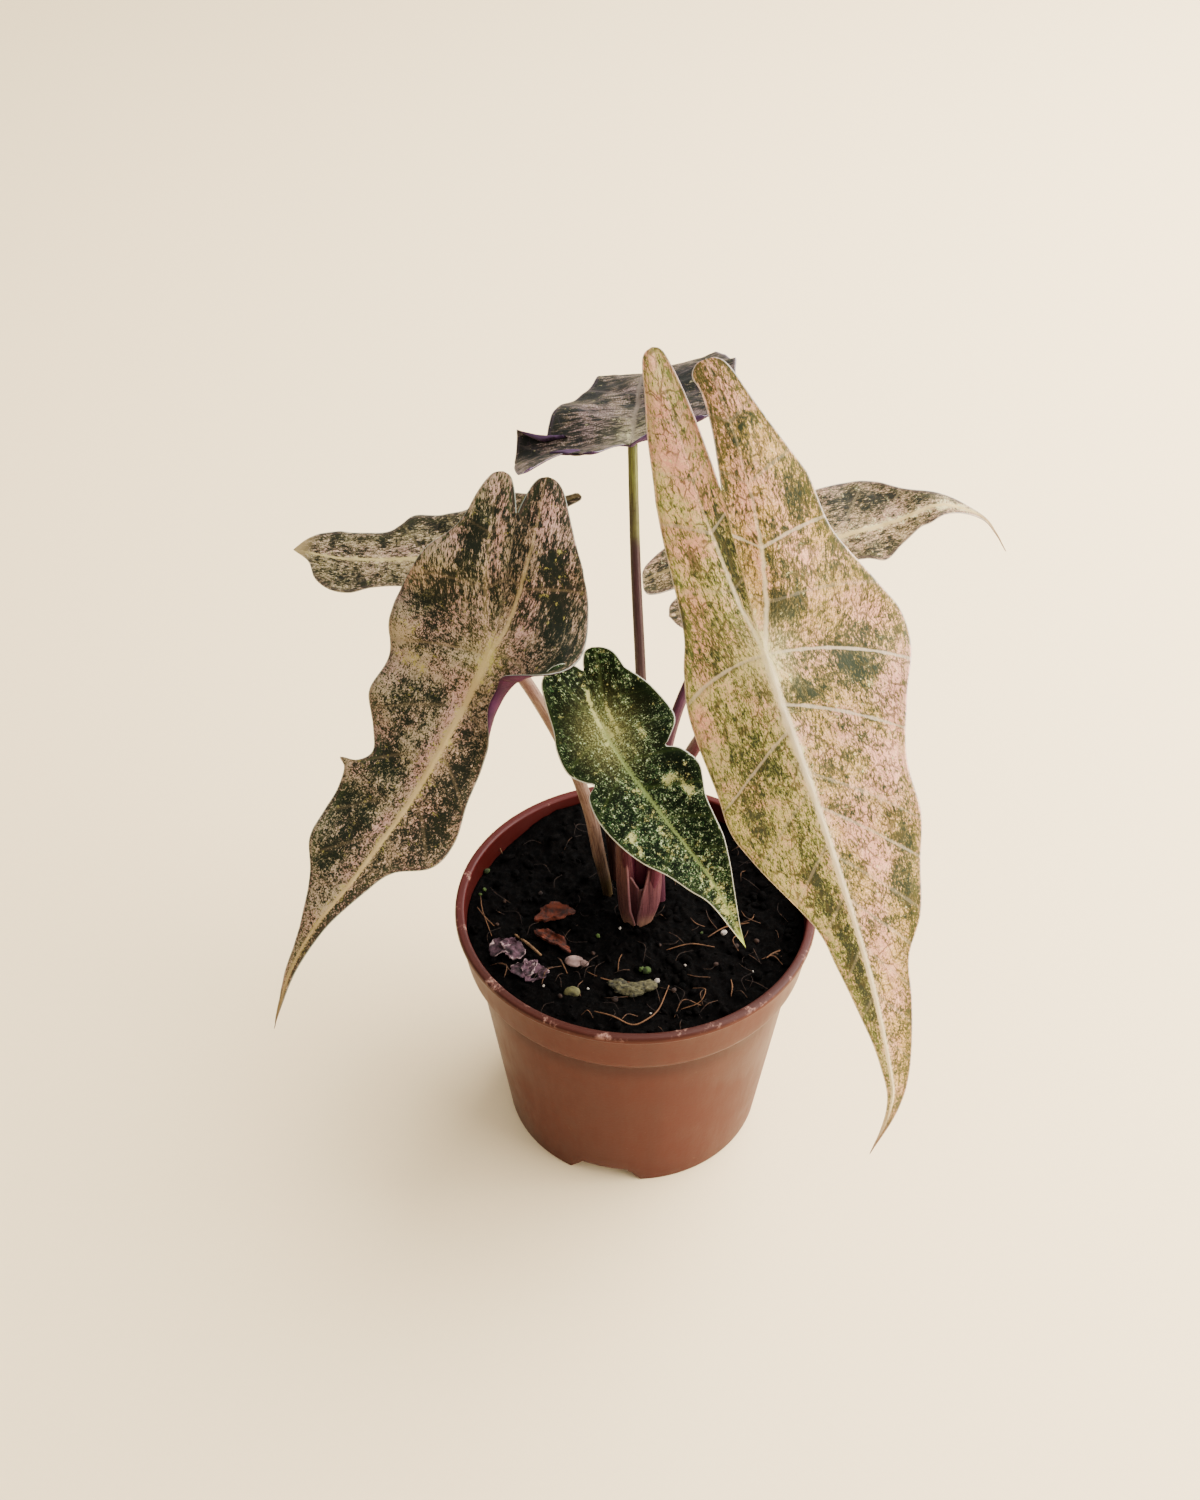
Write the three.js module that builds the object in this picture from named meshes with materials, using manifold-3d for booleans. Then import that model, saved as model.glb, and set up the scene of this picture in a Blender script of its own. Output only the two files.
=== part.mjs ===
// A small arrow-leaved alocasia in a plastic nursery pot.
// Six leaves hang from stalks that rise from one crown in dark peat.
// Millimetres, +Z up. The origin is the middle of the pot's underside, and -Y is the plant's front.
import * as THREE from "three";
import Module from "manifold-3d";
import { mergeVertices } from "three/addons/utils/BufferGeometryUtils.js";

const wasm = await Module();
wasm.setup();

// Clearance between pieces that touch
const gap = 0.3;

// Nursery pot
const potHeight = 91;
const rimRadius = 60;
const lipWidth = 3.2;
const lipDepth = 2.6;
const collarTopRadius = 59.2;
const collarRadius = 56.8;
const collarBottom = 74;
const bodyTopRadius = 54;
const footRadius = 44;
const collarLedge = 2.5;
const wall = 1.2;
const floorLift = 5.7;
const floorThickness = 1.5;
const floorTop = floorLift + floorThickness;
const padRadius = 14;
const padSlope = 2;
const footWidth = 4;
const potSides = 48;
const drainHoles = 6;
const drainHoleRadius = 4;
const drainHoleCircle = 27;
const drainHoleSides = 16;
const notchDirections = [-103.5, 16.5, 136.5];
const notchFootWidth = 24.6;
const notchTopWidth = 15.4;
const notchHeight = 6.3;

// Soil
const soilLevel = 83;
const soilSwell = { height: 0.9, across: 57, deep: 70, startX: 1.3, startY: -0.4 };
const soilHeap = { x: -20, y: 46, reach: 16, height: 4.5 };
const soilCrumb = 1.3;
const soilRings = 9;
const soilSides = 40;
const soilSeed = 7;

// Crown: the sheath of leaf bases. Each point is [x, y, z, radius].
const crownStump = [[1.5, 2, 62, 5.5], [1.5, 2, 74, 8.2], [1.5, 1.5, 84, 7.6], [1.9, 1.4, 97, 3.4]];
const crownSheaths = [
  [[-1.5, 0, 80, 5], [-2.6, -0.6, 96, 4.3], [-3.2, -0.4, 110, 3.6], [-3.4, 0.6, 124, 2.9]],
  [[4.5, 0, 80, 5], [5.6, -0.8, 94, 4.2], [6, -1.4, 106, 3.6], [6.6, -2.6, 120, 2.9]],
  [[2.5, 4.5, 80, 4.6], [3, 6, 98, 4], [2.8, 6.6, 116, 3.4]],
];
const stumpSides = 10;
const sheathSides = 8;

// Stalks, from the crown or the soil to the blade's underside. Each point is [x, y, z, radius].
const stalks = {
  right_front: [[4.6, 0, 84, 2.3], [5.6, -1.8, 106, 2.2], [7.4, -5, 132, 2.1], [13, -10, 158, 2],
    [20, -22, 186, 1.9], [26.5, -41, 216, 1.8], [31, -63, 244.6, 1.8]],
  left_front: [[-9.8, 12.5, 68, 2.4], [-10, 12, 84, 2.3], [-12.2, 9, 105, 2.1], [-15.4, 6, 128, 2],
    [-21, 1, 153, 1.9], [-28.3, -8, 180, 1.9], [-36, -20, 206, 1.9], [-43.2, -33.8, 222, 1.9]],
  centre_front: [[-1.8, 0, 84, 1.9], [-2.6, -1.2, 106, 1.7], [-4.4, -5.5, 132, 1.5],
    [-7, -17, 162, 1.4], [-9.5, -33, 189, 1.3], [-10, -48.6, 205.8, 1.3]],
  top_back: [[3, 5.5, 84, 2.2], [2.8, 6.2, 112, 2.1], [2, 7.5, 145, 1.8], [0.8, 10, 178, 1.6],
    [-1, 16, 212, 1.5], [-1.9, 21, 236, 1.4], [-2.4, 25.5, 254.6, 1.4]],
  left_back: [[-6, 19, 68, 2], [-6.4, 18.8, 84, 1.9], [-8.4, 17.6, 108, 1.8], [-12.4, 19, 138, 1.6],
    [-20, 25, 166, 1.5], [-31, 35, 190, 1.4], [-41, 45, 206, 1.4]],
  right_back: [[8.6, 8.5, 68, 2.1], [8.2, 8.6, 84, 2], [7.4, 8.2, 110, 1.9], [7.6, 9.4, 136, 1.8],
    [12.6, 14.4, 162, 1.7], [23, 28.4, 179, 1.6], [33.6, 38.8, 191.5, 1.5], [37, 42, 198, 1.5]],
};
const stalkSides = 8;
const barStepsPerSpan = 2;
const barEndDome = 0.5;

// Blades. The midrib runs from the lobes' end past the joint with the stalk to the tip.
// facing is the way the upper face looks at the lobes' end, at the joint and at the tip.
// An outline point is [distance past the joint along the midrib, distance out from it].
// left and right are as seen along the midrib from the joint to the tip, upper face up:
// lobe is the outer edge of the basal lobe, edge is the margin from there to the tip,
// and inner is the lobe's edge along the sinus, from the lobe's tip to the sinus's bottom.
// fold turns a half up from the midrib in degrees, and curl adds degrees for each mm outwards.
// A ripple [along, reach, from, turn] bends the margin by turn degrees for each mm past from.
const leaves = {
  right_front: {
    midrib: [[7, -38, 319], [17, -50, 293], [31, -62, 244], [45, -80, 209], [61, -93, 162],
      [71, -95, 121], [74, -92, 98], [71, -86, 68]],
    joint: 2,
    facing: [[0.1, -0.9, 0.4], [0.1, -0.9, 0.4], [0.1, -0.9, 0.3]],
    sinus: -45,
    valley: 3,
    wave: { height: 0.5, length: 31, start: 0.1 },
    left: {
      fold: -2, curl: -0.2,
      lobe: [[-78.5, -6], [-78, -8.6], [-75, -11], [-65, -14], [-54, -18], [-44, -22]],
      edge: [[-44, -22], [-27, -25], [-10, -33], [2, -38], [12, -38], [24, -32], [40, -27], [56, -26],
        [71, -22], [85, -18], [97, -12], [112, -10], [134, -7], [157, -3], [190, 0]],
      inner: [[-78.5, -6], [-78, -3.4], [-75.5, -1.6], [-71, -2.4], [-62, -2], [-52, -0.8], [-45, 0]],
      ripples: [],
    },
    right: {
      fold: -28, curl: -0.4,
      lobe: [[-85.5, 6], [-84.6, 8.6], [-82, 10.2], [-75, 12.4], [-63, 16], [-45, 19]],
      edge: [[-45, 19], [-32, 20], [-9, 21], [2, 25], [13, 28], [35, 28], [49, 28], [59, 24],
        [81, 12], [96, 9], [114, 6], [134, 3], [172, 0.6], [190, 0]],
      inner: [[-85.5, 6], [-84.6, 4], [-82, 2.8], [-74, 1.6], [-60, 0.8], [-45, 0]],
      ripples: [],
    },
  },
  left_front: {
    midrib: [[-33, -8, 264], [-37, -22, 246], [-43, -33, 221], [-62, -50, 189], [-80, -63, 167],
      [-93, -70, 152], [-102, -73, 135], [-109, -74, 112]],
    joint: 2,
    facing: [[-0.1, -0.8, 0.5], [-0.2, -0.8, 0.5], [-0.3, -0.7, 0.5]],
    sinus: -40,
    valley: 2,
    wave: { height: 0.8, length: 24, start: 0.2 },
    left: {
      fold: -8, curl: -0.3,
      lobe: [[-52, -7], [-51.2, -9.6], [-48.6, -12], [-43, -14.4], [-36, -17.4], [-29, -21]],
      edge: [[-29, -21], [-17, -24], [-5, -26], [0, -22], [6, -15], [14, -13], [23, -12], [31, -13],
        [40, -14.4], [50, -17], [59, -16], [67, -8], [76, -5], [89, -3], [103, -2], [120, -1], [137, 0]],
      inner: [[-52, -7], [-51, -4.4], [-48, -2.4], [-43, -0.6], [-40, 0]],
      ripples: [[11, 12, 6, 24]],
    },
    right: {
      fold: -8, curl: -0.3,
      lobe: [[-51.5, 5.5], [-50.8, 8], [-48.5, 10], [-44, 12.4], [-37, 15.5], [-31, 20]],
      edge: [[-31, 20], [-24, 26], [-10, 32], [5, 32], [16, 28], [28, 28], [36, 22], [42, 18],
        [49, 23], [57, 21], [67, 20], [76, 18], [83, 12], [93, 6], [105, 2.5], [124, 0.8], [137, 0]],
      inner: [[-51.5, 5.5], [-50.6, 3.4], [-48, 2], [-43, 0.6], [-40, 0]],
      ripples: [],
    },
  },
  centre_front: {
    midrib: [[-17, -40, 225], [-10, -48, 205], [3, -61, 191], [20, -71, 170], [30, -74, 147]],
    joint: 1,
    facing: [[0.1, -0.6, 0.8], [0.1, -0.6, 0.8], [0.3, -0.7, 0.5]],
    sinus: -19,
    valley: 1,
    wave: { height: 0.5, length: 15, start: 0.4 },
    left: {
      fold: 12, curl: -0.6,
      lobe: [[-25, -4], [-24, -7], [-21.6, -9.4], [-17, -11]],
      edge: [[-17, -11], [-12, -15], [-7, -17.4], [1, -19.4], [7, -18.6], [11, -14], [12, -12.4],
        [15, -15.4], [21, -17], [26, -15.4], [31, -13], [37, -11.4], [43, -10], [50, -7], [57, -4.2],
        [67, -1.6], [77, 0]],
      inner: [[-25, -4], [-24.4, -1.8], [-21.5, -0.4], [-19, 0]],
      ripples: [],
    },
    right: {
      fold: 7, curl: -0.6,
      lobe: [[-24, 8], [-23, 10.6], [-20, 12.8], [-14, 13.2]],
      edge: [[-14, 13.2], [-7, 13.4], [-2, 14.8], [4, 15], [8, 12.4], [10, 10.6], [12, 14], [18, 15.6],
        [26, 15], [34, 12.8], [41, 9.6], [49, 7], [56, 4.2], [67, 2], [77, 0]],
      inner: [[-24, 8], [-23.6, 5], [-21.5, 1.8], [-19, 0]],
      ripples: [],
    },
  },
  top_back: {
    midrib: [[-4, 17, 260], [-3.4, 20.5, 256], [-2.4, 26, 255], [-0.5, 45, 257], [3, 65, 253],
      [7, 81, 239], [10, 92, 219], [12, 98, 198]],
    joint: 2,
    facing: [[-0.3, -0.1, 1], [-0.25, 0, 1], [-0.1, 0.95, 0.3]],
    sinus: -5,
    valley: 0,
    wave: { height: 1.1, length: 27, start: 0.35 },
    left: {
      fold: 4, curl: -0.1,
      lobe: [[-8, -29], [-8, -33], [1, -37], [9, -36]],
      edge: [[9, -36], [6, -31], [4.4, -27.4], [9, -26], [15, -24.6], [22, -21.8], [30, -18.4],
        [38, -16], [50, -13.6], [62, -11], [76, -7.4], [90, -4], [107, 0]],
      inner: [[-8, -29], [-6, -22], [-5, -15], [-9, -10], [-6, -4], [-5, 0]],
      ripples: [[32, 16, 6, 0.35], [-2, 10, 24, -1.2]],
    },
    right: {
      fold: 6, curl: -0.2,
      lobe: [[-6, 17], [-3, 23], [3, 28], [9, 30]],
      edge: [[9, 30], [18, 30], [27, 29.5], [36, 26], [46, 21], [58, 16], [72, 11], [86, 6],
        [98, 2], [107, 0]],
      inner: [[-6, 17], [-8, 12], [-8, 6], [-7, 2], [-5, 0]],
      ripples: [[-6, 12, 0, 0.5]],
    },
  },
  left_back: {
    midrib: [[-19, 42, 222], [-41, 45, 206], [-60, 47, 198], [-91, 54, 192], [-111, 62, 190]],
    joint: 1,
    facing: [[0, -0.5, 0.85], [0, -0.5, 0.85], [0, -0.5, 0.85]],
    sinus: -10,
    valley: 1,
    wave: { height: 0.7, length: 21, start: 0.3 },
    left: {
      fold: -5, curl: -0.4,
      lobe: [[-19, -8], [-15, -13], [-9, -16]],
      edge: [[-9, -16], [-2, -17], [10, -14], [24, -10], [36, -9], [45, -9.4], [52, -11.4],
        [58, -11], [64, -8], [68, -3], [75, 0]],
      inner: [[-19, -8], [-18, -5], [-14, -1.6], [-10, 0]],
      ripples: [],
    },
    right: {
      fold: 5, curl: -0.3,
      lobe: [[-29, 1.2], [-28, 2.8], [-25, 3.4], [-19, 5.6], [-11, 11]],
      edge: [[-11, 11], [-4, 14], [11, 14.4], [23, 14.4], [33, 15], [38, 11.6], [44, 9.2],
        [61, 9], [70, 5.6], [75, 0]],
      inner: [[-29, 1.2], [-28, 0.2], [-24, 0.2], [-18, 0.2], [-10, 0]],
      ripples: [],
    },
  },
  right_back: {
    midrib: [[8, 35, 193], [37, 42, 198], [62, 48, 204], [81, 52, 208], [95, 55, 212],
      [110, 58, 205], [119, 58, 192]],
    joint: 1,
    facing: [[0, -0.4, 0.9], [0, -0.5, 0.85], [0.3, -0.5, 0.85]],
    sinus: -14,
    valley: 1,
    wave: { height: 0.7, length: 22, start: 0.6 },
    left: {
      fold: -5, curl: -0.4,
      lobe: [[-35.5, -5.5], [-34, -10], [-30, -13.6], [-23, -17], [-13, -19]],
      edge: [[-13, -19], [0, -20], [14, -20], [27, -19], [36, -18.6], [45, -15.4], [56, -7],
        [66, -3], [77, -0.8], [94, 0]],
      inner: [[-35.5, -5.5], [-35.6, -2.4], [-33.4, -0.8], [-24, -0.3], [-14, 0]],
      ripples: [],
    },
    right: {
      fold: -10, curl: -0.4,
      lobe: [[-31, 8], [-28, 13], [-21, 16], [-13, 17]],
      edge: [[-13, 17], [0, 15], [14, 11], [26, 8.4], [34, 9], [40, 11], [46, 7.6], [52, 5], [57, 4.8],
        [66, 2.4], [77, 0.8], [94, 0]],
      inner: [[-31, 8], [-29, 4], [-22, 1], [-14, 0]],
      ripples: [],
    },
  },
};
const bladeThickness = 0.8;
const ribHeight = 1.5;
const ribWidth = 1.6;
const ribStart = [-8, 2];
const valleyReach = 6;
const valleyLength = 14;
const waveWidth = 20;
const waveOffset = 0.37;
const midribStepsPerSpan = 24;
const readStep = 1.5;

// The blade's grid: rows on a lobe and from there to the tip, and columns out from the midrib
const rowsOf = {
  right_front: [7, 26],
  left_front: [5, 26],
  centre_front: [4, 22],
  top_back: [6, 24],
  left_back: [4, 18],
  right_back: [5, 20],
};
const bladeColumns = [0, 0.07, 0.25, 0.5, 0.78, 1];
const tipCrowding = 1.7;

// Bits that lie on the soil: middle, turn about Z in degrees, length, width and thickness
const bits = {
  bark_chip_back: { at: [-27.5, 1.5], turn: 12, size: [13, 7, 2.4] },
  bark_chip_front: { at: [-27, -11], turn: -38, size: [14, 5, 2.2] },
  pale_stick: { at: [-35.5, -12.5], turn: -47, size: [13, 1.5, 1.5] },
  dead_leaf_scrap_back: { at: [-42, -15.5], turn: 20, size: [11, 9, 1.8] },
  dead_leaf_scrap_front: { at: [-35, -25.5], turn: -28, size: [12, 8, 1.8] },
  grey_chip: { at: [-19.5, -20.5], turn: 10, size: [8, 4.4, 2] },
  pebble: { at: [-20.8, -33.5], turn: 0, size: [4.6, 4, 3.6] },
  moss_lump: { at: [-2, -31], turn: -8, size: [14, 5, 3] },
};
const bitSides = 9;
const bitRings = 6;
const bitUnevenness = 0.3;
const bitLift = 0.9;

// Colours
const looks = {
  pot: { color: 0x96503a, roughness: 0.45 },
  soil: { color: 0x17120f, roughness: 0.95 },
  crown: { color: 0x7a4a52, roughness: 0.5 },
  stalk: { color: 0x6b4a45, roughness: 0.5 },
  right_front: { color: 0xa59a63, roughness: 0.5 },
  left_front: { color: 0x5e5748, roughness: 0.5 },
  centre_front: { color: 0x3a4a26, roughness: 0.45 },
  top_back: { color: 0x66605c, roughness: 0.5 },
  left_back: { color: 0x706650, roughness: 0.5 },
  right_back: { color: 0x77695a, roughness: 0.5 },
  bark: { color: 0x8a4524, roughness: 0.9 },
  straw: { color: 0xb59a78, roughness: 0.9 },
  deadLeaf: { color: 0x6a5664, roughness: 0.9 },
  stone: { color: 0x9c968a, roughness: 0.8 },
  moss: { color: 0x5b6140, roughness: 0.9 },
};
const bitLooks = {
  bark_chip_back: looks.bark,
  bark_chip_front: looks.bark,
  pale_stick: looks.straw,
  dead_leaf_scrap_back: looks.deadLeaf,
  dead_leaf_scrap_front: looks.deadLeaf,
  grey_chip: looks.stone,
  pebble: looks.stone,
  moss_lump: looks.moss,
};

// Helpers for curves, closed meshes and cuts

function vector(point) {
  return new THREE.Vector3(point[0], point[1], point[2]);
}

function smoothCurve(points) {
  return new THREE.CatmullRomCurve3(points.map(vector), false, "catmullrom", 0.5);
}

function meshFrom(name, geometry, look) {
  const material = new THREE.MeshStandardMaterial({ ...look, metalness: 0 });
  const mesh = new THREE.Mesh(geometry, material);
  mesh.name = name;
  return mesh;
}

function geometryFrom(positions, triangles) {
  const geometry = new THREE.BufferGeometry();
  geometry.setAttribute("position", new THREE.Float32BufferAttribute(positions, 3));
  geometry.setIndex(triangles);
  return geometry;
}

function solidFrom(geometry) {
  const bare = geometry.clone();
  bare.deleteAttribute("normal");
  bare.deleteAttribute("uv");
  const merged = mergeVertices(bare, 1e-4);
  return new wasm.Manifold(new wasm.Mesh({
    numProp: 3,
    vertProperties: new Float32Array(merged.attributes.position.array),
    triVerts: new Uint32Array(merged.index.array),
  }));
}

function geometryOf(solid) {
  const mesh = solid.getMesh();
  return geometryFrom(Array.from(mesh.vertProperties), Array.from(mesh.triVerts));
}

function largestPiece(solid) {
  const pieces = solid.decompose();
  return pieces.reduce((best, piece) => (piece.volume() > best.volume() ? piece : best));
}

// A number from 0 to 1 that depends only on its inputs
function hash(a, b, seed) {
  const value = Math.sin(a * 127.1 + b * 311.7 + seed * 74.7) * 43758.5453;
  return value - Math.floor(value);
}

function smoothStep(low, high, value) {
  const t = Math.min(1, Math.max(0, (value - low) / (high - low)));
  return t * t * (3 - 2 * t);
}

// A closed round bar through [x, y, z, radius] points, with each end domed a little
function taperedBar(points, sides, extra = 0) {
  const curve = smoothCurve(points);
  const spans = points.length - 1;
  const steps = spans * barStepsPerSpan;
  const positions = [];
  const triangles = [];
  const rings = [];
  const across = new THREE.Vector3(1, 0, 0);
  for (let i = 0; i <= steps; i += 1) {
    const t = i / steps;
    const centre = curve.getPoint(t);
    const tangent = curve.getTangent(t);
    const span = Math.min(spans - 1, Math.floor(t * spans));
    const part = t * spans - span;
    const radius = points[span][3] * (1 - part) + points[span + 1][3] * part + extra;
    across.addScaledVector(tangent, -across.dot(tangent)).normalize();
    const side = new THREE.Vector3().crossVectors(tangent, across);
    const ring = [];
    for (let k = 0; k < sides; k += 1) {
      const angle = (2 * Math.PI * k) / sides;
      const point = centre.clone();
      point.addScaledVector(across, radius * Math.cos(angle));
      point.addScaledVector(side, radius * Math.sin(angle));
      ring.push(positions.length / 3);
      positions.push(point.x, point.y, point.z);
    }
    rings.push(ring);
  }
  const capEnd = (t, ring, outwards) => {
    const centre = curve.getPoint(t);
    centre.addScaledVector(curve.getTangent(t), outwards * (barEndDome + extra));
    const middle = positions.length / 3;
    positions.push(centre.x, centre.y, centre.z);
    for (let k = 0; k < sides; k += 1) {
      const next = (k + 1) % sides;
      triangles.push(...(outwards > 0 ? [ring[k], ring[next], middle] : [ring[next], ring[k], middle]));
    }
  };
  capEnd(0, rings[0], -1);
  capEnd(1, rings[steps], 1);
  for (let i = 0; i < steps; i += 1) {
    for (let k = 0; k < sides; k += 1) {
      const next = (k + 1) % sides;
      triangles.push(rings[i][k], rings[i][next], rings[i + 1][next]);
      triangles.push(rings[i][k], rings[i + 1][next], rings[i + 1][k]);
    }
  }
  return geometryFrom(positions, triangles);
}

// Leaf blades

// Reads an outline of [along, out] points as a smooth line, at steps of its length.
// Crowding above 1 puts more of the steps near the outline's start.
function readOutline(points, steps, crowding) {
  const curve = smoothCurve(points.map(([along, out]) => [along, out, 0]));
  curve.arcLengthDivisions = points.length * 12;
  return Array.from({ length: steps + 1 }, (_, i) => curve.getPointAt((i / steps) ** crowding));
}

class Blade {
  constructor(leaf) {
    this.leaf = leaf;
    const curve = smoothCurve(leaf.midrib);
    this.points = curve.getPoints((leaf.midrib.length - 1) * midribStepsPerSpan);
    this.along = [0];
    for (let i = 1; i < this.points.length; i += 1) {
      this.along.push(this.along[i - 1] + this.points[i].distanceTo(this.points[i - 1]));
    }
    const joint = this.along[leaf.joint * midribStepsPerSpan];
    this.along = this.along.map((length) => length - joint);
    this.start = this.along[0];
    this.end = this.along[this.along.length - 1];
  }

  midribAt(s) {
    let i = 1;
    while (i < this.along.length - 1 && this.along[i] < s) i += 1;
    const part = (s - this.along[i - 1]) / (this.along[i] - this.along[i - 1]);
    return this.points[i - 1].clone().lerp(this.points[i], part);
  }

  // The midrib's place, the upper face's direction there, and the way to the right half
  frameAt(s) {
    const inside = Math.min(this.end, Math.max(this.start, s));
    const back = this.midribAt(Math.max(this.start, inside - readStep));
    const ahead = this.midribAt(Math.min(this.end, inside + readStep));
    const tangent = ahead.sub(back).normalize();
    const place = this.midribAt(inside).addScaledVector(tangent, s - inside);
    const [first, middle, last] = this.leaf.facing.map(vector);
    const up = inside < 0
      ? middle.lerp(first, inside / this.start)
      : middle.lerp(last, inside / this.end);
    up.addScaledVector(tangent, -up.dot(tangent)).normalize();
    const right = new THREE.Vector3().crossVectors(tangent, up);
    return { place, up, right };
  }

  // The upper face at a distance along the midrib and out from it, right halves positive
  pointAt(s, out) {
    const { place, up, right } = this.frameAt(s);
    const { wave, valley } = this.leaf;
    const half = out > 0 ? this.leaf.right : this.leaf.left;
    const width = Math.abs(out);
    const steps = Math.max(1, Math.ceil(width / readStep));
    const step = width / steps;
    let sideways = 0;
    let rise = 0;
    for (let i = 0; i < steps; i += 1) {
      const w = (i + 0.5) * step;
      let angle = half.fold + half.curl * w;
      for (const [along, reach, from, turn] of half.ripples) {
        angle += turn * Math.exp(-(((s - along) / reach) ** 2)) * Math.max(0, w - from);
      }
      sideways += Math.cos(THREE.MathUtils.degToRad(angle)) * step;
      rise += Math.sin(THREE.MathUtils.degToRad(angle)) * step;
    }
    const phase = out > 0 ? wave.start : wave.start + waveOffset;
    const swing = Math.sin(2 * Math.PI * (s / wave.length + phase));
    rise += wave.height * swing * (width / waveWidth) ** 2;
    rise -= valley * smoothStep(0, valleyLength, -s) * Math.exp(-((width / valleyReach) ** 2));
    return place.addScaledVector(right, Math.sign(out) * sideways).addScaledVector(up, rise);
  }

  // The blade's thickness, more over the midrib
  thicknessAt(s, out) {
    const taper = smoothStep(...ribStart, s) * Math.max(0, 1 - s / this.end);
    return bladeThickness + ribHeight * taper * Math.exp(-((out / ribWidth) ** 2));
  }
}

// A closed blade: the upper and lower faces are split into triangles alike and joined at the margin
function bladeGeometry(leaf, lobeRows, edgeRows, extra = 0) {
  const blade = new Blade(leaf);
  const places = [];
  const faces = [];
  const add = (s, out) => places.push([s, out]) - 1;
  const columns = bladeColumns;
  const last = columns.length - 1;
  const middle = [];
  for (let i = 0; i < edgeRows; i += 1) {
    middle.push(add(leaf.sinus + ((blade.end - leaf.sinus) * i) / edgeRows, 0));
  }
  const tip = add(blade.end, 0);
  for (const half of [leaf.left, leaf.right]) {
    const onLeft = half === leaf.left;
    const outerLobe = readOutline(half.lobe, lobeRows, tipCrowding);
    const innerLobe = readOutline(half.inner, lobeRows, tipCrowding);
    const outerEdge = readOutline(half.edge, edgeRows, 1);
    const rows = [new Array(columns.length).fill(add(half.lobe[0][0], half.lobe[0][1]))];
    const addRow = (first, inner, outer) => {
      const row = [first];
      for (let c = 1; c <= last; c += 1) {
        const point = inner.clone().lerp(outer, columns[c]);
        row.push(add(point.x, point.y));
      }
      rows.push(row);
    };
    for (let i = 1; i < lobeRows; i += 1) {
      addRow(add(innerLobe[i].x, innerLobe[i].y), innerLobe[i], outerLobe[i]);
    }
    for (let i = 0; i < edgeRows; i += 1) {
      const inner = new THREE.Vector3(places[middle[i]][0], 0, 0);
      addRow(middle[i], inner, outerEdge[i]);
    }
    rows.push(new Array(columns.length).fill(tip));
    for (let i = 0; i + 1 < rows.length; i += 1) {
      for (let c = 0; c < last; c += 1) {
        const quad = [rows[i][c], rows[i][c + 1], rows[i + 1][c + 1], rows[i + 1][c]];
        for (const triangle of [[quad[0], quad[1], quad[2]], [quad[0], quad[2], quad[3]]]) {
          if (new Set(triangle).size === 3) faces.push(onLeft ? [...triangle].reverse() : triangle);
        }
      }
    }
  }
  return thicken(blade, places, faces, extra);
}

function thicken(blade, places, faces, extra) {
  const upper = places.map(([s, out]) => blade.pointAt(s, out));
  const normals = upper.map(() => new THREE.Vector3());
  for (const [a, b, c] of faces) {
    const normal = new THREE.Vector3().subVectors(upper[b], upper[a])
      .cross(new THREE.Vector3().subVectors(upper[c], upper[a]));
    for (const corner of [a, b, c]) normals[corner].add(normal);
  }
  const positions = [];
  upper.forEach((point, i) => {
    normals[i].normalize();
    const top = point.clone().addScaledVector(normals[i], extra);
    positions.push(top.x, top.y, top.z);
  });
  upper.forEach((point, i) => {
    const depth = blade.thicknessAt(...places[i]) + extra;
    const bottom = point.clone().addScaledVector(normals[i], -depth);
    positions.push(bottom.x, bottom.y, bottom.z);
  });
  const below = upper.length;
  const triangles = [];
  const edges = new Map();
  for (const [a, b, c] of faces) {
    triangles.push(a, b, c, below + a, below + c, below + b);
    for (const [from, to] of [[a, b], [b, c], [c, a]]) {
      if (!edges.delete(`${to} ${from}`)) edges.set(`${from} ${to}`, [from, to]);
    }
  }
  for (const [from, to] of edges.values()) {
    triangles.push(from, below + from, below + to, from, below + to, to);
  }
  return geometryFrom(positions, triangles);
}

// Pot

// The pot's outer radius at a height on its tapered body
function bodyRadius(z) {
  return footRadius + ((bodyTopRadius - footRadius) * z) / collarBottom;
}

// The pot's outer radius at a height on its collar
function collarRadiusAt(z) {
  const part = (z - collarBottom) / (potHeight - lipDepth - collarBottom);
  return collarRadius + (collarTopRadius - collarRadius) * part;
}

// The inner wall's radius at a height beside the collar
function collarInside(z) {
  const part = (z - collarBottom) / (potHeight - collarBottom);
  return collarRadius - wall + (rimRadius - lipWidth - collarRadius + wall) * part;
}

// The outline turned round the axis: the underside, the outside, the lip and the inside
function potProfile() {
  const footInside = footRadius - footWidth;
  const ledgeBottom = collarBottom - collarLedge;
  const wallBend = ledgeBottom - wall;
  const lipBottom = potHeight - lipDepth;
  const underside = [[0, 0], [padRadius, 0], [padRadius + padSlope, floorLift],
    [footInside - 1, floorLift], [footInside, 0]];
  const body = [0, 0.3, 0.65, 1].map((part) => [bodyRadius(ledgeBottom * part), ledgeBottom * part]);
  const collar = [[collarRadius - 0.6, collarBottom - 0.8], [collarRadius, collarBottom],
    [collarRadiusAt(soilLevel), soilLevel], [collarTopRadius, lipBottom]];
  const lip = [[rimRadius - 0.2, lipBottom + 0.3], [rimRadius, lipBottom + 1],
    [rimRadius - 0.5, potHeight - 0.4], [rimRadius - 1.4, potHeight],
    [rimRadius - lipWidth + 0.6, potHeight], [rimRadius - lipWidth, potHeight - 0.7]];
  const inside = [[collarInside(collarBottom), collarBottom], [bodyRadius(wallBend) - wall, wallBend],
    [bodyRadius(floorTop) - wall, floorTop], [padRadius + 1, floorTop],
    [padRadius + 1 - padSlope, floorThickness], [0, floorThickness]];
  return [...underside, ...body, ...collar, ...lip, ...inside];
}

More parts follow.
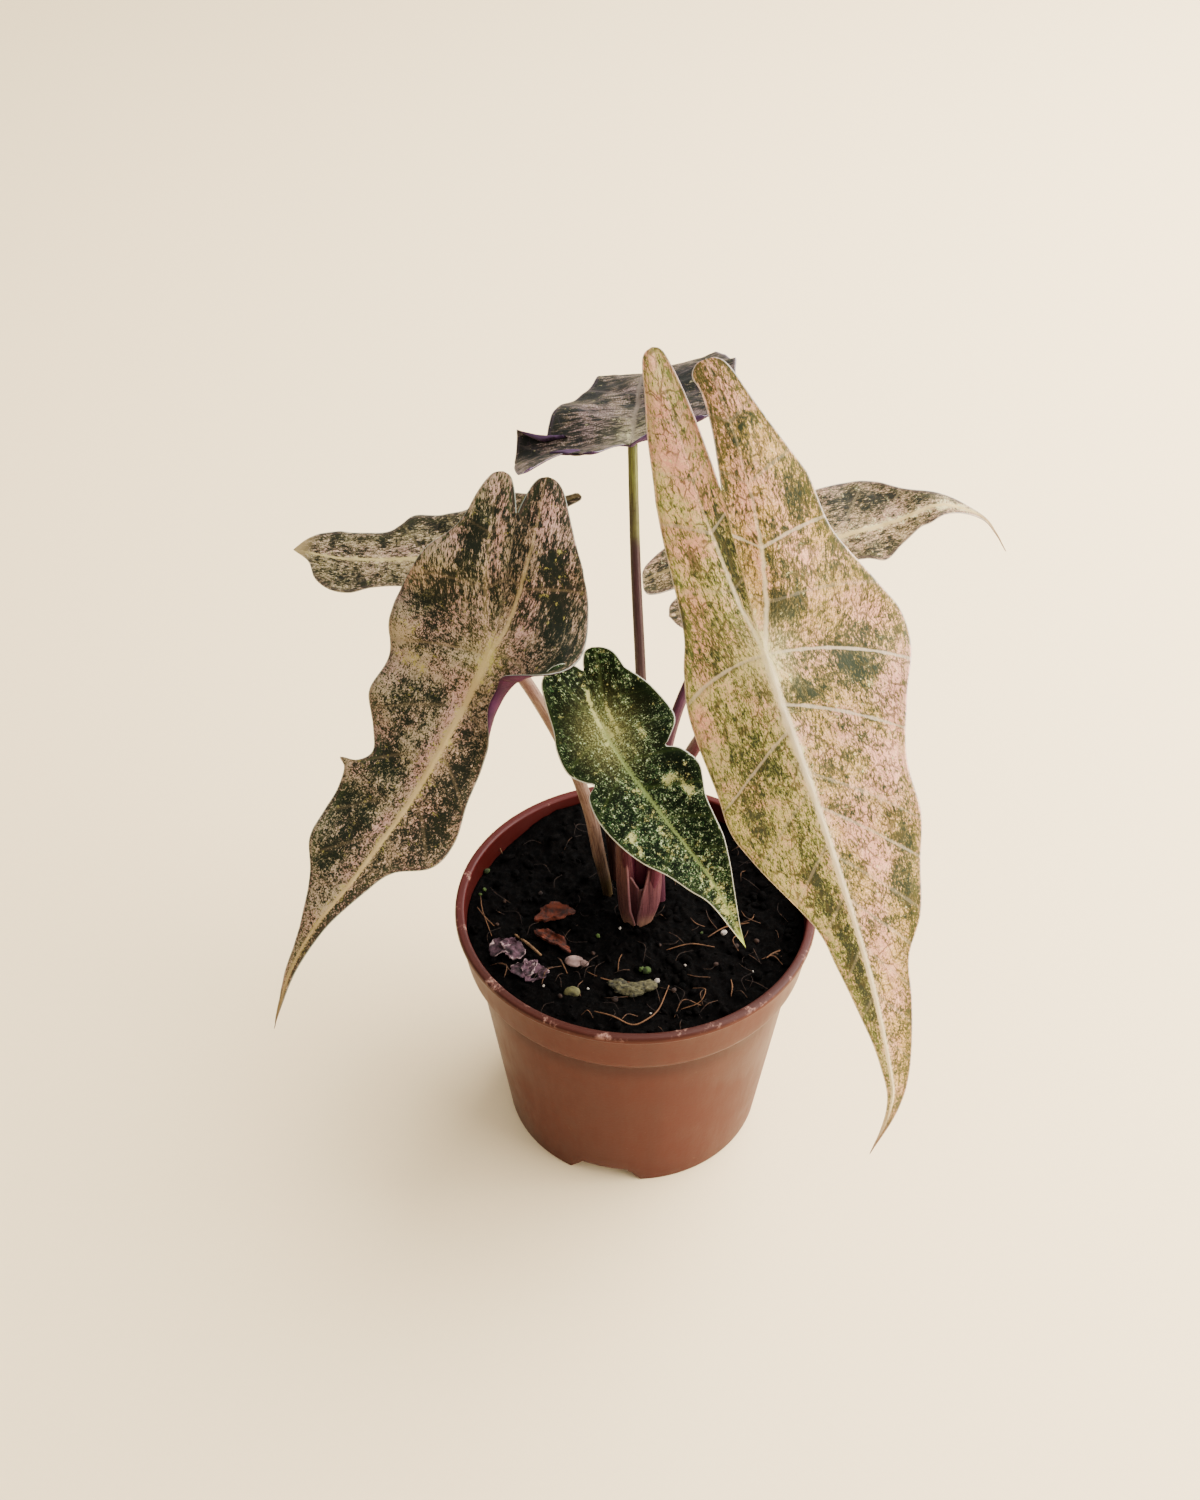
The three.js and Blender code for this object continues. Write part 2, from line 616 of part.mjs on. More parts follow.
function drainHole(index) {
  const angle = (2 * Math.PI * (index + 0.5)) / drainHoles;
  const drill = new THREE.CylinderGeometry(drainHoleRadius, drainHoleRadius, potHeight / 4, drainHoleSides);
  drill.rotateX(Math.PI / 2);
  drill.translate(drainHoleCircle * Math.cos(angle), drainHoleCircle * Math.sin(angle), 0);
  return solidFrom(drill);
}

// A wedge that cuts one notch through the foot ring
function footNotch(direction) {
  const outline = new THREE.Shape();
  outline.moveTo(-notchFootWidth / 2, -1);
  outline.lineTo(notchFootWidth / 2, -1);
  outline.lineTo(notchTopWidth / 2, notchHeight);
  outline.lineTo(-notchTopWidth / 2, notchHeight);
  const cutter = new THREE.ExtrudeGeometry(outline, { depth: footWidth * 4, bevelEnabled: false });
  cutter.rotateX(Math.PI / 2);
  cutter.translate(0, -(footRadius - footWidth * 2), 0);
  cutter.rotateZ(THREE.MathUtils.degToRad(direction + 90));
  return solidFrom(cutter);
}

function potGeometry() {
  const turned = new THREE.LatheGeometry(potProfile().map(([r, z]) => new THREE.Vector2(r, z)), potSides);
  turned.rotateX(Math.PI / 2);
  let pot = solidFrom(turned);
  for (let i = 0; i < drainHoles; i += 1) pot = pot.subtract(drainHole(i));
  for (const direction of notchDirections) pot = pot.subtract(footNotch(direction));
  return geometryOf(largestPiece(pot));
}

// Soil

// The soil's surface: gentle swells, a heap at the back, and crumbs that fade out at the wall
function soilHeight(x, y) {
  const turnX = (2 * Math.PI * x) / soilSwell.across + soilSwell.startX;
  const turnY = (2 * Math.PI * y) / soilSwell.deep + soilSwell.startY;
  const swell = soilSwell.height * Math.sin(turnX) * Math.cos(turnY);
  const heapX = (x - soilHeap.x) / soilHeap.reach;
  const heapY = (y - soilHeap.y) / soilHeap.reach;
  const heap = soilHeap.height * Math.exp(-(heapX ** 2) - heapY ** 2);
  const fromAxis = Math.hypot(x, y) / collarInside(soilLevel);
  const crumb = soilCrumb * (hash(Math.round(x * 3), Math.round(y * 3), soilSeed) - 0.5);
  return soilLevel + swell + heap + crumb * (1 - smoothStep(0.85, 0.97, fromAxis));
}

function soilGeometry(cuts) {
  const wallGap = wall + gap;
  const bottom = floorThickness + gap;
  const wallBend = collarBottom - collarLedge - wall;
  const side = [
    [padRadius + 1 - padSlope - gap, bottom],
    [padRadius + 1 - gap, floorTop + gap],
    [bodyRadius(floorTop) - wallGap, floorTop + gap],
    [bodyRadius(wallBend) - wallGap, wallBend],
    [collarInside(collarBottom) - gap, collarBottom],
  ];
  const topRadius = collarInside(soilLevel - 2) - gap;
  const rings = side.map(([radius, z]) => ({ radius, z: () => z }));
  for (let i = 0; i < soilRings; i += 1) {
    rings.push({ radius: topRadius * (1 - i / soilRings), z: soilHeight });
  }
  const positions = [0, 0, bottom, 0, 0, soilHeight(0, 0)];
  const triangles = [];
  const id = (ring, k) => 2 + ring * soilSides + (k % soilSides);
  rings.forEach(({ radius, z }) => {
    for (let k = 0; k < soilSides; k += 1) {
      const angle = (2 * Math.PI * k) / soilSides;
      const x = radius * Math.cos(angle);
      const y = radius * Math.sin(angle);
      positions.push(x, y, z(x, y));
    }
  });
  for (let k = 0; k < soilSides; k += 1) {
    triangles.push(0, id(0, k + 1), id(0, k));
    triangles.push(1, id(rings.length - 1, k), id(rings.length - 1, k + 1));
    for (let ring = 0; ring + 1 < rings.length; ring += 1) {
      triangles.push(id(ring, k), id(ring, k + 1), id(ring + 1, k + 1));
      triangles.push(id(ring, k), id(ring + 1, k + 1), id(ring + 1, k));
    }
  }
  let soil = solidFrom(geometryFrom(positions, triangles));
  for (const cut of cuts) soil = soil.subtract(cut);
  return geometryOf(largestPiece(soil));
}

// A flattened, uneven lump that lies half sunk in the soil
function bitGeometry({ at, turn, size }, seed, extra = 0) {
  const lump = new THREE.SphereGeometry(1, bitSides, bitRings);
  const bare = mergeVertices(lump.deleteAttribute("normal").deleteAttribute("uv"), 1e-4);
  const position = bare.attributes.position;
  for (let i = 0; i < position.count; i += 1) {
    const bump = 1 + bitUnevenness * (hash(i, seed, soilSeed) - 0.5);
    position.setXYZ(i,
      position.getX(i) * bump * (size[0] / 2 + extra),
      position.getZ(i) * bump * (size[1] / 2 + extra),
      -position.getY(i) * (size[2] / 2 + extra));
  }
  bare.rotateZ(THREE.MathUtils.degToRad(turn));
  bare.translate(at[0], at[1], soilLevel + bitLift);
  return bare;
}

// Crown and stalks

function crownSolid(extra = 0) {
  const stump = solidFrom(taperedBar(crownStump, stumpSides, extra));
  const sheaths = crownSheaths.map((points) => solidFrom(taperedBar(points, sheathSides, extra)));
  return sheaths.reduce((crown, sheath) => crown.add(sheath), stump);
}

function stalkSolid(name, extra = 0) {
  return solidFrom(taperedBar(stalks[name], stalkSides, extra));
}

// Assembly

const plant = new THREE.Group();

let crown = crownSolid();
for (const name of Object.keys(stalks)) crown = crown.subtract(stalkSolid(name, gap));
plant.add(meshFrom("crown", geometryOf(largestPiece(crown)), looks.crown));

// The soil has holes for the crown, for the stalks that rise beside it and for the bits
const soilCuts = [crownSolid(gap)];
for (const name of ["left_front", "left_back", "right_back"]) soilCuts.push(stalkSolid(name, gap));
Object.entries(bits).forEach(([name, bit], seed) => {
  plant.add(meshFrom(name, bitGeometry(bit, seed), bitLooks[name]));
  soilCuts.push(solidFrom(bitGeometry(bit, seed, gap)));
});
plant.add(meshFrom("pot", potGeometry(), looks.pot));
plant.add(meshFrom("soil", soilGeometry(soilCuts), looks.soil));

// Each stalk ends just under its blade
for (const [name, leaf] of Object.entries(leaves)) {
  plant.add(meshFrom(`leaf_${name}`, bladeGeometry(leaf, ...rowsOf[name]), looks[name]));
  const blade = solidFrom(bladeGeometry(leaf, ...rowsOf[name], gap));
  const stalk = largestPiece(stalkSolid(name).subtract(blade));
  plant.add(meshFrom(`stalk_${name}`, geometryOf(stalk), looks.stalk));
}

export default plant;
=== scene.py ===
"""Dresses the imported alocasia: its marked leaf blades, stalks, crown, pot, soil and what lies on it.

Sizes are in millimetres and are turned into metres where a mesh is made. The blades, stalks, pot and soil
repeat the named values of the solids, with finer meshes.
"""
import math
import bpy
import numpy as np
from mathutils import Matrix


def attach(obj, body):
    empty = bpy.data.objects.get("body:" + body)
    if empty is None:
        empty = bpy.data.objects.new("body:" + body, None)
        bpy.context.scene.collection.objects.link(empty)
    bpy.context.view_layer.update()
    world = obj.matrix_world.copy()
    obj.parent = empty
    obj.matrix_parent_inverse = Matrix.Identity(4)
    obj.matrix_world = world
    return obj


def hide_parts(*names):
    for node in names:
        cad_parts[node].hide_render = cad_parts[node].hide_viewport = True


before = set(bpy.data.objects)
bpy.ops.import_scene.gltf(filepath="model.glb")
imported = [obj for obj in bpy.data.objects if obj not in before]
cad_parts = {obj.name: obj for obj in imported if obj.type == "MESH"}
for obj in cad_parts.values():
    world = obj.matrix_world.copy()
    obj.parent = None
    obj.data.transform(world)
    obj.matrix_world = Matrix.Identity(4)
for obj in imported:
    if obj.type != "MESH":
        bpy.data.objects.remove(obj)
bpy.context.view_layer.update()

MM = 0.001

# Pot
POT_HEIGHT = 91
RIM_RADIUS = 60
LIP_WIDTH = 3.2
LIP_DEPTH = 2.6
COLLAR_TOP_RADIUS = 59.2
COLLAR_RADIUS = 56.8
COLLAR_BOTTOM = 74
BODY_TOP_RADIUS = 54
FOOT_RADIUS = 44
COLLAR_LEDGE = 2.5
WALL = 1.2
FLOOR_LIFT = 5.7
FLOOR_THICKNESS = 1.5
FLOOR_TOP = FLOOR_LIFT + FLOOR_THICKNESS
PAD_RADIUS = 14
FOOT_WIDTH = 4
POT_SIDES = 144
SHARP_ANGLE = 40
CORNER_STEPS = 5
LONGEST_RUN = 4
DRAIN_HOLES = 6
DRAIN_HOLE_RADIUS = 4
DRAIN_HOLE_CIRCLE = 27
DRILL_HEIGHTS = (-4, 12)
NOTCH_DIRECTIONS = (-103.5, 16.5, 136.5)
NOTCH_FOOT_WIDTH = 24.6
NOTCH_TOP_WIDTH = 15.4
NOTCH_HEIGHT = 6.3
NOTCH_CLEAR = 0.8

# Soil
SOIL_LEVEL = 83
SOIL_SWELL = {"height": 0.9, "across": 57, "deep": 70, "start_x": 1.3, "start_y": -0.4}
SOIL_HEAP = {"x": -20, "y": 46, "reach": 16, "height": 4.5}
SOIL_SIDES = 300
SOIL_RINGS = 74
SOIL_GAP = 0.3
SOIL_CLODS = {"size": 7, "seed": 21, "layers": 2}
SOIL_CRUMBS = {"size": 2.4, "seed": 31, "layers": 3}
CLOD_HEIGHT = 0.7
CRUMB_HEIGHT = 0.75
DEEPEST_CRUMB = -0.4
CALM_WALL = (50, 56)

# Loose matter on the soil: how many pieces, the seed, and how far from the middle they lie.
# Few fibres lie behind and to the left of the bare corner.
CRUMBS = {"count": 420, "seed": 5, "reach": 54}
FIBRES = {"count": 150, "seed": 9, "reach": 53}
FIBRE_LIMIT = 54
FIBRE_LIFT = 0.3
BARE_CORNER = (4, -14)
BARE_SHARE = 0.35

# Crown: the cone's [height, x, y, half width, half depth]. A sheath is a skin of it, inset mm inside, whose
# upper edge is at the given shares of the way round and heights. Its slit opens in front by the given
# degrees to the left and right at each height.
CROWN_CONE = [
    [79, 0.6, 0.6, 5, 4.2], [84.5, 0.7, 0.6, 5.6, 4.5], [87, 0.9, 0.8, 6.3, 4.8],
    [90.5, 1.2, 0.9, 6.9, 5.1], [98, 1.1, 1.1, 7.4, 5.5], [108, 1, 1.3, 7.6, 5.7], [124, 1, 1.5, 7.6, 5.9],
]
# inside is how much painted shade darkens a sheath's outer face; its inner face gets the most.
CROWN_SHEATHS = [
    {"inset": 0, "top": [[0, 0.12, 0.4, 0.6, 0.85, 1], [109, 112, 117, 119, 122, 120]],
     "slit": [[79, 84.5, 90, 98, 108, 124], [4, 7, 25, 27, 30, 38], [-3, -4, -3, 6, 23, 42]], "inside": 0},
    {"inset": 1.1, "top": [[0, 0.1, 0.4, 0.6, 0.9, 1], [100, 101, 108, 112, 107, 100.5]],
     "slit": [[79, 124], [0, 0], [0.4, 0.4]], "inside": 0.5},
]
CROWN_FOOT = 79
CROWN_SKIN = 0.6
CROWN_ROWS = 44
CROWN_COLUMNS = 90
CROWN_CORES = [
    [[0.8, 1.4, 79, 2], [1.2, 2, 92, 3], [1.4, 2.4, 106, 3.6], [1.4, 2.6, 116, 3]],
    [[0.6, 1.4, 80, 1.8], [-0.8, 1.2, 94, 2.2], [-2.4, 1, 108, 2.6], [-3.2, 1, 121, 2.4]],
]

# Leaves. The midrib runs from the lobes' end past the joint with the stalk to the tip.
# facing is the way the upper face looks at the lobes' end, at the joint and at the tip.
# left and right are as seen along the midrib from the joint to the tip, upper face up. Their points are
# [distance past the joint along the midrib, distance out from it]. The lobe's outer line goes on in the edge.
# The lobe's vein is a line too, and side_veins holds where each starts and how strongly it shows.
# grid holds the rows on a lobe, the rows from there to the tip, and the columns out from the midrib.
# rib is the vein's width at the joint and at the tip, and crinkle the height of the fine folds.
# dark, blush and pale are marks: [distance past the joint, signed distance out, reach along,
# reach out, amount]. dark draws the dark green together, blush the pink, and pale keeps a place light.
# stalk is [x, y, z, radius] points. It ends in the rib beneath the blade, short radii before the solid does,
# and its colour goes from low to high over the bends.
LEAVES = {
    "right_front": {
        "slot": "leaf_yellow_pink", "grid": [46, 250, 36], "crinkle": 0, "rib": [1.7, 0.5],
        "midrib": [[7, -38, 319], [17, -50, 293], [31, -62, 244], [45, -80, 209], [61, -93, 162],
            [71, -95, 121], [74, -92, 98], [71, -86, 68]],
        "joint": 2, "facing": [[0.1, -0.9, 0.4], [0.1, -0.9, 0.4], [0.1, -0.9, 0.3]],
        "sinus": -45, "valley": 3, "wave": {"height": 0.5, "length": 31, "start": 0.1},
        "left": {
            "fold": -2, "curl": -0.2,
            "lobe": [[-78.5, -6], [-78, -8.6], [-75, -11], [-65, -14], [-54, -18], [-44, -22]],
            "edge": [[-27, -25], [-10, -33], [2, -38], [12, -38], [24, -32], [40, -27], [56, -26],
                [71, -22], [85, -18], [97, -12], [112, -10], [134, -7], [157, -3], [190, 0]],
            "inner": [[-78, -3.4], [-75.5, -1.6], [-71, -2.4], [-62, -2], [-52, -0.8]],
            "lobe_vein": [[0, 0], [-12, 4], [-28, 6.2], [-43, 6.8], [-60, 6.8], [-84, 6]],
            "side_veins": [[-62, 0.15], [-46, 0.2], [-28, 0.8], [-13, 0.15], [0, 0.9], [14, 0.8],
                [33, 0.25], [43, 0.5], [58, 0.2], [72, 0.3], [88, 0.2], [105, 0.2], [124, 0.15]],
        },
        "right": {
            "fold": -28, "curl": -0.4,
            "lobe": [[-85.5, 6], [-84.6, 8.6], [-82, 10.2], [-75, 12.4], [-63, 16], [-45, 19]],
            "edge": [[-32, 20], [-9, 21], [2, 25], [13, 28], [35, 28], [49, 28], [59, 24], [81, 12],
                [96, 9], [114, 6], [134, 3], [172, 0.6], [190, 0]],
            "inner": [[-84.6, 4], [-82, 2.8], [-74, 1.6], [-60, 0.8]],
            "lobe_vein": [[0, 0], [-14, 3], [-29, 5], [-44, 6.8], [-66, 6.8], [-84, 6]],
            "side_veins": [[-66, 0.15], [-50, 0.2], [-35, 0.4], [-18, 0.15], [0, 0.9], [21, 0.7],
                [38, 0.25], [54, 0.3], [70, 0.2], [88, 0.2], [106, 0.2]],
        },
        "dark": [[-10, -7, 6, 3.5, 1], [8, -19, 6, 5, 1], [12, -5, 4, 4, 1], [14, -9, 3, 4, 0.8],
            [-11, -13.5, 4, 3, 0.6], [4, -27, 4, 3, 0.5], [12, -22, 5, 4, 0.6], [46, -5, 4, 3, 0.5],
            [-36, -17, 9, 3, 0.6], [-57, -8, 6, 2, 0.5], [38, 20, 8, 5, 0.5], [48, 17, 8, 4, 0.5],
            [30, 8, 7, 4, 0.5], [68, 7, 12, 3, 0.9], [89, 4, 14, 2.5, 0.9], [108, 2.5, 14, 2, 0.7],
            [62, -20, 9, 2.5, 0.7], [76, -16, 8, 2.5, 0.7], [20, 15, 7, 5, 0.4], [-30, 3, 16, 2, 0.6],
            [-56, 2.6, 14, 1.6, 0.25], [-10, 21, 10, 2.5, 0.5], [-34, 14, 10, 2.5, 0.4]],
        "blush": [[-61, 9, 12, 4, 1], [-62, 2.4, 16, 2.4, 1.2], [21, -29, 7, 4, 1], [54, -9, 8, 4, 0.9],
            [-45, -5, 16, 2, 0.9], [-26, -5, 8, 1.5, 0.8], [-17, 15, 8, 3, 0.4], [13, 24, 6, 5, 0.9],
            [24, -15, 4, 4, 0.9], [38, -20, 8, 4, 0.7], [66, -10, 9, 3, 0.6], [28, -27, 7, 3, 0.6],
            [-4, -26, 5, 4, 0.6], [-70, -8, 10, 2.5, 0.7], [0, -32, 4, 2, 0.6], [100, -6, 20, 2, 0.5]],
        "pale": [[0, 0, 9, 4, 0.6], [24, 0, 30, 2.2, 0.7]],
        "stalk": [[3.2, 0.6, 84, 1.6], [5.6, -1.8, 106, 2.2], [7.4, -5, 132, 2.1], [13, -10, 158, 2],
            [20, -22, 186, 1.9], [26.5, -41, 216, 1.8], [31, -63, 244.6, 1.8]],
        "stalk_look": {"low": (84, 38, 46), "middle": (76, 36, 48), "high": (92, 56, 62),
            "bends": [[0.3, 0.5], [0.8, 1]], "short": 2.1},
    },
    "left_front": {
        "slot": "leaf_dark_pink", "grid": [22, 180, 36], "crinkle": 0.35, "rib": [1.5, 0.5],
        "midrib": [[-33, -8, 264], [-37, -22, 246], [-43, -33, 221], [-62, -50, 189], [-80, -63, 167],
            [-93, -70, 152], [-102, -73, 135], [-109, -74, 112]],
        "joint": 2, "facing": [[-0.1, -0.8, 0.5], [-0.2, -0.8, 0.5], [-0.3, -0.7, 0.5]],
        "sinus": -40, "valley": 2, "wave": {"height": 0.8, "length": 24, "start": 0.2},
        "left": {
            "fold": -8, "curl": -0.3, "ripples": [[11, 12, 6, 24]],
            "lobe": [[-52, -7], [-51.2, -9.6], [-48.6, -12], [-43, -14.4], [-36, -17.4], [-29, -21]],
            "edge": [[-17, -24], [-5, -26], [0, -22], [6, -15], [14, -13], [23, -12], [31, -13],
                [40, -14.4], [50, -17], [59, -16], [67, -8], [76, -5], [89, -3], [103, -2], [120, -1],
                [137, 0]],
            "inner": [[-51, -4.4], [-48, -2.4], [-43, -0.6]],
            "lobe_vein": [[0, 0], [-8, 2.4], [-22, 4.8], [-33, 5.8], [-51, 6.6]],
            "side_veins": [[-36, 0.3], [-20, 0.5], [-2, 0.7], [16, 0.3], [30, 0.4], [44, 0.3], [58, 0.3],
                [72, 0.3]],
        },
        "right": {
            "fold": -8, "curl": -0.3,
            "lobe": [[-51.5, 5.5], [-50.8, 8], [-48.5, 10], [-44, 12.4], [-37, 15.5], [-31, 20]],
            "edge": [[-24, 26], [-10, 32], [5, 32], [16, 28], [28, 28], [36, 22], [42, 18], [47, 20.4],
                [49.6, 25.4], [51.4, 22.6], [58, 21], [67, 20], [76, 18], [83, 12], [93, 6], [105, 2.5],
                [124, 0.8], [137, 0]],
            "inner": [[-50.6, 3.4], [-48, 2], [-43, 0.6]],
            "lobe_vein": [[0, 0], [-9, 4], [-15, 5], [-24, 6], [-38, 6.8], [-51, 6]],
            "side_veins": [[-34, 0.3], [-18, 0.4], [0, 0.8], [16, 0.4], [30, 0.4], [44, 0.3], [58, 0.3],
                [74, 0.3]],
        },
        "dark": [[-26, 11, 8, 4, 0.9], [-10, 22, 9, 6, 0.8], [6, 19, 5, 6, 0.4], [-28, -12.5, 6, 3, 1],
            [-16, -15, 7, 4, 0.9], [-2, -22, 7, 4, 0.8], [24, 17, 7, 5, 0.7], [18, 8, 4, 3, 0.5],
            [42, 13, 7, 5, 0.9], [49, -11, 7, 3, 0.5], [60, 17, 7, 4, 0.9], [60, 9, 6, 3, 0.6],
            [74, 10, 8, 4, 0.7], [-38, 10, 6, 3, 0.8], [-44, 1, 7, 1.4, 0.9], [30, -9, 8, 3, 0.6],
            [92, -2, 10, 2, 0.4], [-18, 17, 5, 3, 0.5], [58, 8, 26, 12, 0.3], [50, -8, 22, 7, 0.22]],
        "blush": [[-33, 4, 12, 1.6, 0.9], [-14, -7, 10, 3, 0.9], [-40, -8, 7, 3, 0.9], [8, -8, 8, 3, 0.5],
            [34, 2.5, 14, 2, 0.8], [60, 3, 12, 2, 0.7], [17, 2, 9, 2, 0.7], [52, -6, 8, 3, 0.4]],
        "pale": [[0, 0, 6, 3, 0.7], [12, 20, 3, 5, 0.7], [2, 25, 3, 5, 0.4], [32, 0, 30, 2.4, 0.6],
            [84, 1, 16, 1.5, 0.5], [-33, -12, 3, 3, 0.3]],
        "stalk": [[-8.6, 12.5, 68, 1.5], [-9.2, 12, 84, 1.6], [-12.2, 9, 105, 2.1], [-15.4, 6, 128, 2],
            [-21, 1, 153, 1.9], [-28.3, -8, 180, 1.9], [-36, -20, 206, 1.9], [-43.2, -33.8, 222, 1.9]],
        "stalk_look": {"low": (70, 56, 32), "middle": (122, 98, 84), "high": (112, 76, 82),
            "bends": [[0.1, 0.3], [0.75, 1]], "short": 1.9},
    },
    "centre_front": {
        "slot": "leaf_green", "grid": [14, 110, 28], "crinkle": 0, "rib": [1.1, 0.22],
        "midrib": [[-17, -40, 225], [-10, -48, 205], [3, -61, 191], [20, -71, 170], [30, -74, 147]],
        "joint": 1, "facing": [[0.1, -0.6, 0.8], [0.1, -0.6, 0.8], [0.3, -0.7, 0.5]],
        "sinus": -19, "valley": 1, "wave": {"height": 0.5, "length": 15, "start": 0.4},
        "left": {
            "fold": 12, "curl": -0.6,
            "lobe": [[-25, -4], [-24, -7], [-21.6, -9.4], [-17, -11]],
            "edge": [[-12, -15], [-7, -17.4], [1, -19.4], [7, -18.6], [11, -14], [12, -12.4], [15, -15.4],
                [21, -17], [26, -15.4], [31, -13], [37, -11.4], [43, -10], [50, -7], [57, -4.2], [67, -1.6],
                [77, 0]],
            "inner": [[-24.4, -1.8], [-21.5, -0.4]],
            "lobe_vein": [[0, 0], [-6, 1.6], [-12, 3], [-20, 4.4], [-25, 4.6]],
            "side_veins": [[-9, 0.3], [0, 0.5], [9, 0.5], [18, 0.7], [28, 0.5], [38, 0.4], [50, 0.4]],
        },
        "right": {
            "fold": 7, "curl": -0.6,
            "lobe": [[-24, 8], [-23, 10.6], [-20, 12.8], [-14, 13.2]],
            "edge": [[-7, 13.4], [-2, 14.8], [4, 15], [8, 12.4], [10, 10.6], [12, 14], [18, 15.6], [26, 15],
                [34, 12.8], [41, 9.6], [49, 7], [56, 4.2], [67, 2], [77, 0]],
            "inner": [[-23.6, 5], [-21.5, 1.8]],
            "lobe_vein": [[0, 0], [-6, 2], [-12, 4.4], [-20, 7.4], [-25, 8.4]],
            "side_veins": [[-9, 0.3], [0, 0.5], [11, 0.5], [21, 0.5], [32, 0.5], [44, 0.4]],
        },
        "dark": [[-6, -13, 5, 3, 0.6], [14, -13, 5, 3, 0.8], [6, 10, 5, 4, 0.3], [22, -13, 4, 3, 0.4],
            [-12, 9, 5, 3, 0.2]],
        "blush": [],
        "pale": [[20, -7.5, 2.2, 2.2, 1], [25, -10, 3, 1.6, 1], [-11, 1, 7, 0.8, 1], [-4, -3, 6, 0.8, 0.9],
            [27, 11, 1.6, 2, 0.9], [32, 11.5, 3, 0.9, 0.8], [4, -9, 4, 1.6, 0.5], [60, 0, 16, 3, 0.6],
            [30, 3, 26, 2, 0.3], [0, 0, 5, 1.6, 0.8]],
        "stalk": [[0.6, 0.4, 84, 1.4], [-2.6, -1.2, 106, 1.7], [-4.4, -5.5, 132, 1.5], [-7, -17, 162, 1.4],
            [-9.5, -33, 189, 1.3], [-10, -48.6, 205.8, 1.3]],
        "stalk_look": {"low": (74, 32, 38), "middle": (80, 40, 46), "high": (104, 100, 58),
            "bends": [[0.3, 0.5], [0.8, 1]], "short": 2.1},
    },
    "top_back": {
        "slot": "leaf_grey", "grid": [34, 130, 40], "crinkle": 0.9, "rib": [1.2, 0.5],
        "midrib": [[-4, 17, 260], [-3.4, 20.5, 256], [-2.4, 26, 255], [-0.5, 45, 257], [3, 65, 253],
            [7, 81, 239], [10, 92, 219], [12, 98, 198]],
        "joint": 2, "facing": [[-0.3, -0.1, 1], [-0.25, 0, 1], [-0.1, 0.95, 0.3]],
        "sinus": -5, "valley": 0, "wave": {"height": 1.1, "length": 27, "start": 0.35},
        "left": {
            "fold": 4, "curl": -0.1, "ripples": [[32, 16, 6, 0.35], [-2, 10, 24, -1.2]],
            "lobe": [[-8, -29], [-8, -33], [1, -37], [9, -36]],
            "edge": [[6, -31], [4.4, -27.4], [9, -26], [15, -24.6], [22, -21.8], [30, -18.4], [38, -16],
                [50, -13.6], [62, -11], [76, -7.4], [90, -4], [107, 0]],
            "inner": [[-6, -22], [-5, -15], [-9, -10], [-6, -4]],
            "lobe_vein": [[0, 0], [-4, 9], [-8, 26], [-10, 36]],
            "side_veins": [[-3, 0.6], [8, 0.8], [20, 0.7], [33, 0.6], [47, 0.5], [62, 0.4]],
        },
        "right": {
            "fold": 6, "curl": -0.2, "ripples": [[-6, 12, 0, 0.5]],
            "lobe": [[-6, 17], [-3, 23], [3, 28], [9, 30]],
            "edge": [[18, 30], [27, 29.5], [36, 26], [46, 21], [58, 16], [72, 11], [86, 6], [98, 2],
                [107, 0]],
            "inner": [[-8, 12], [-8, 6], [-7, 2]],
            "lobe_vein": [[0, 0], [-4, 9], [-6, 20], [-8, 26]],
            "side_veins": [[-3, 0.6], [8, 0.8], [20, 0.7], [33, 0.6], [47, 0.5], [62, 0.4]],
        },
        "dark": [[30, -16, 8, 5, 0.6], [10, -30, 6, 5, 0.5], [50, -8, 8, 6, 0.5], [20, 14, 8, 6, 0.5],
            [60, 10, 8, 5, 0.5], [2, -34, 4, 3, 0.5]],
        "blush": [[14, -12, 6, 5, 0.5], [40, 6, 8, 5, 0.5]],
        "pale": [[0, 0, 6, 4, 0.5]],
        "stalk": [[2.2, 2.2, 84, 1.5], [2.8, 6.2, 112, 2.1], [2, 7.5, 145, 1.8], [0.8, 10, 178, 1.6],
            [-1, 16, 212, 1.5], [-1.9, 21, 236, 1.4], [-2.4, 25.5, 254.6, 1.4]],
        "stalk_look": {"low": (36, 13, 18), "middle": (46, 16, 26), "high": (104, 108, 44),
            "bends": [[0.35, 0.7], [0.78, 0.92]], "short": 1.25},
    },
    "left_back": {
        "slot": "leaf_cream_green", "grid": [14, 96, 22], "crinkle": 0.4, "rib": [1, 0.4],
        "midrib": [[-19, 42, 222], [-41, 45, 206], [-60, 47, 198], [-91, 54, 192], [-111, 62, 190]],
        "joint": 1, "facing": [[0, -0.5, 0.85], [0, -0.5, 0.85], [0, -0.5, 0.85]],
        "sinus": -10, "valley": 1, "wave": {"height": 0.7, "length": 21, "start": 0.3},
        "left": {
            "fold": -5, "curl": -0.4,
            "lobe": [[-19, -8], [-15, -13], [-9, -16]],
            "edge": [[-2, -17], [10, -14], [24, -10], [36, -9], [45, -9.4], [52, -11.4], [58, -11],
                [64, -8], [68, -3], [75, 0]],
            "inner": [[-18, -5], [-14, -1.6]],
            "lobe_vein": [[0, 0], [-5, 2.4], [-12, 5.6], [-19, 8]],
            "side_veins": [[-7, 0.3], [0, 0.5], [14, 0.5], [28, 0.4], [42, 0.4]],
        },
        "right": {
            "fold": 5, "curl": -0.3,
            "lobe": [[-29, 1.2], [-28, 2.8], [-25, 3.4], [-19, 5.6], [-11, 11]],
            "edge": [[-4, 14], [11, 14.4], [23, 14.4], [33, 15], [38, 11.6], [44, 9.2], [61, 9], [70, 5.6],
                [75, 0]],
            "inner": [[-28, 0.2], [-24, 0.2], [-18, 0.2]],
            "lobe_vein": [[0, 0], [-5, 3], [-10, 4.6], [-19, 3.2], [-29, 1.8]],
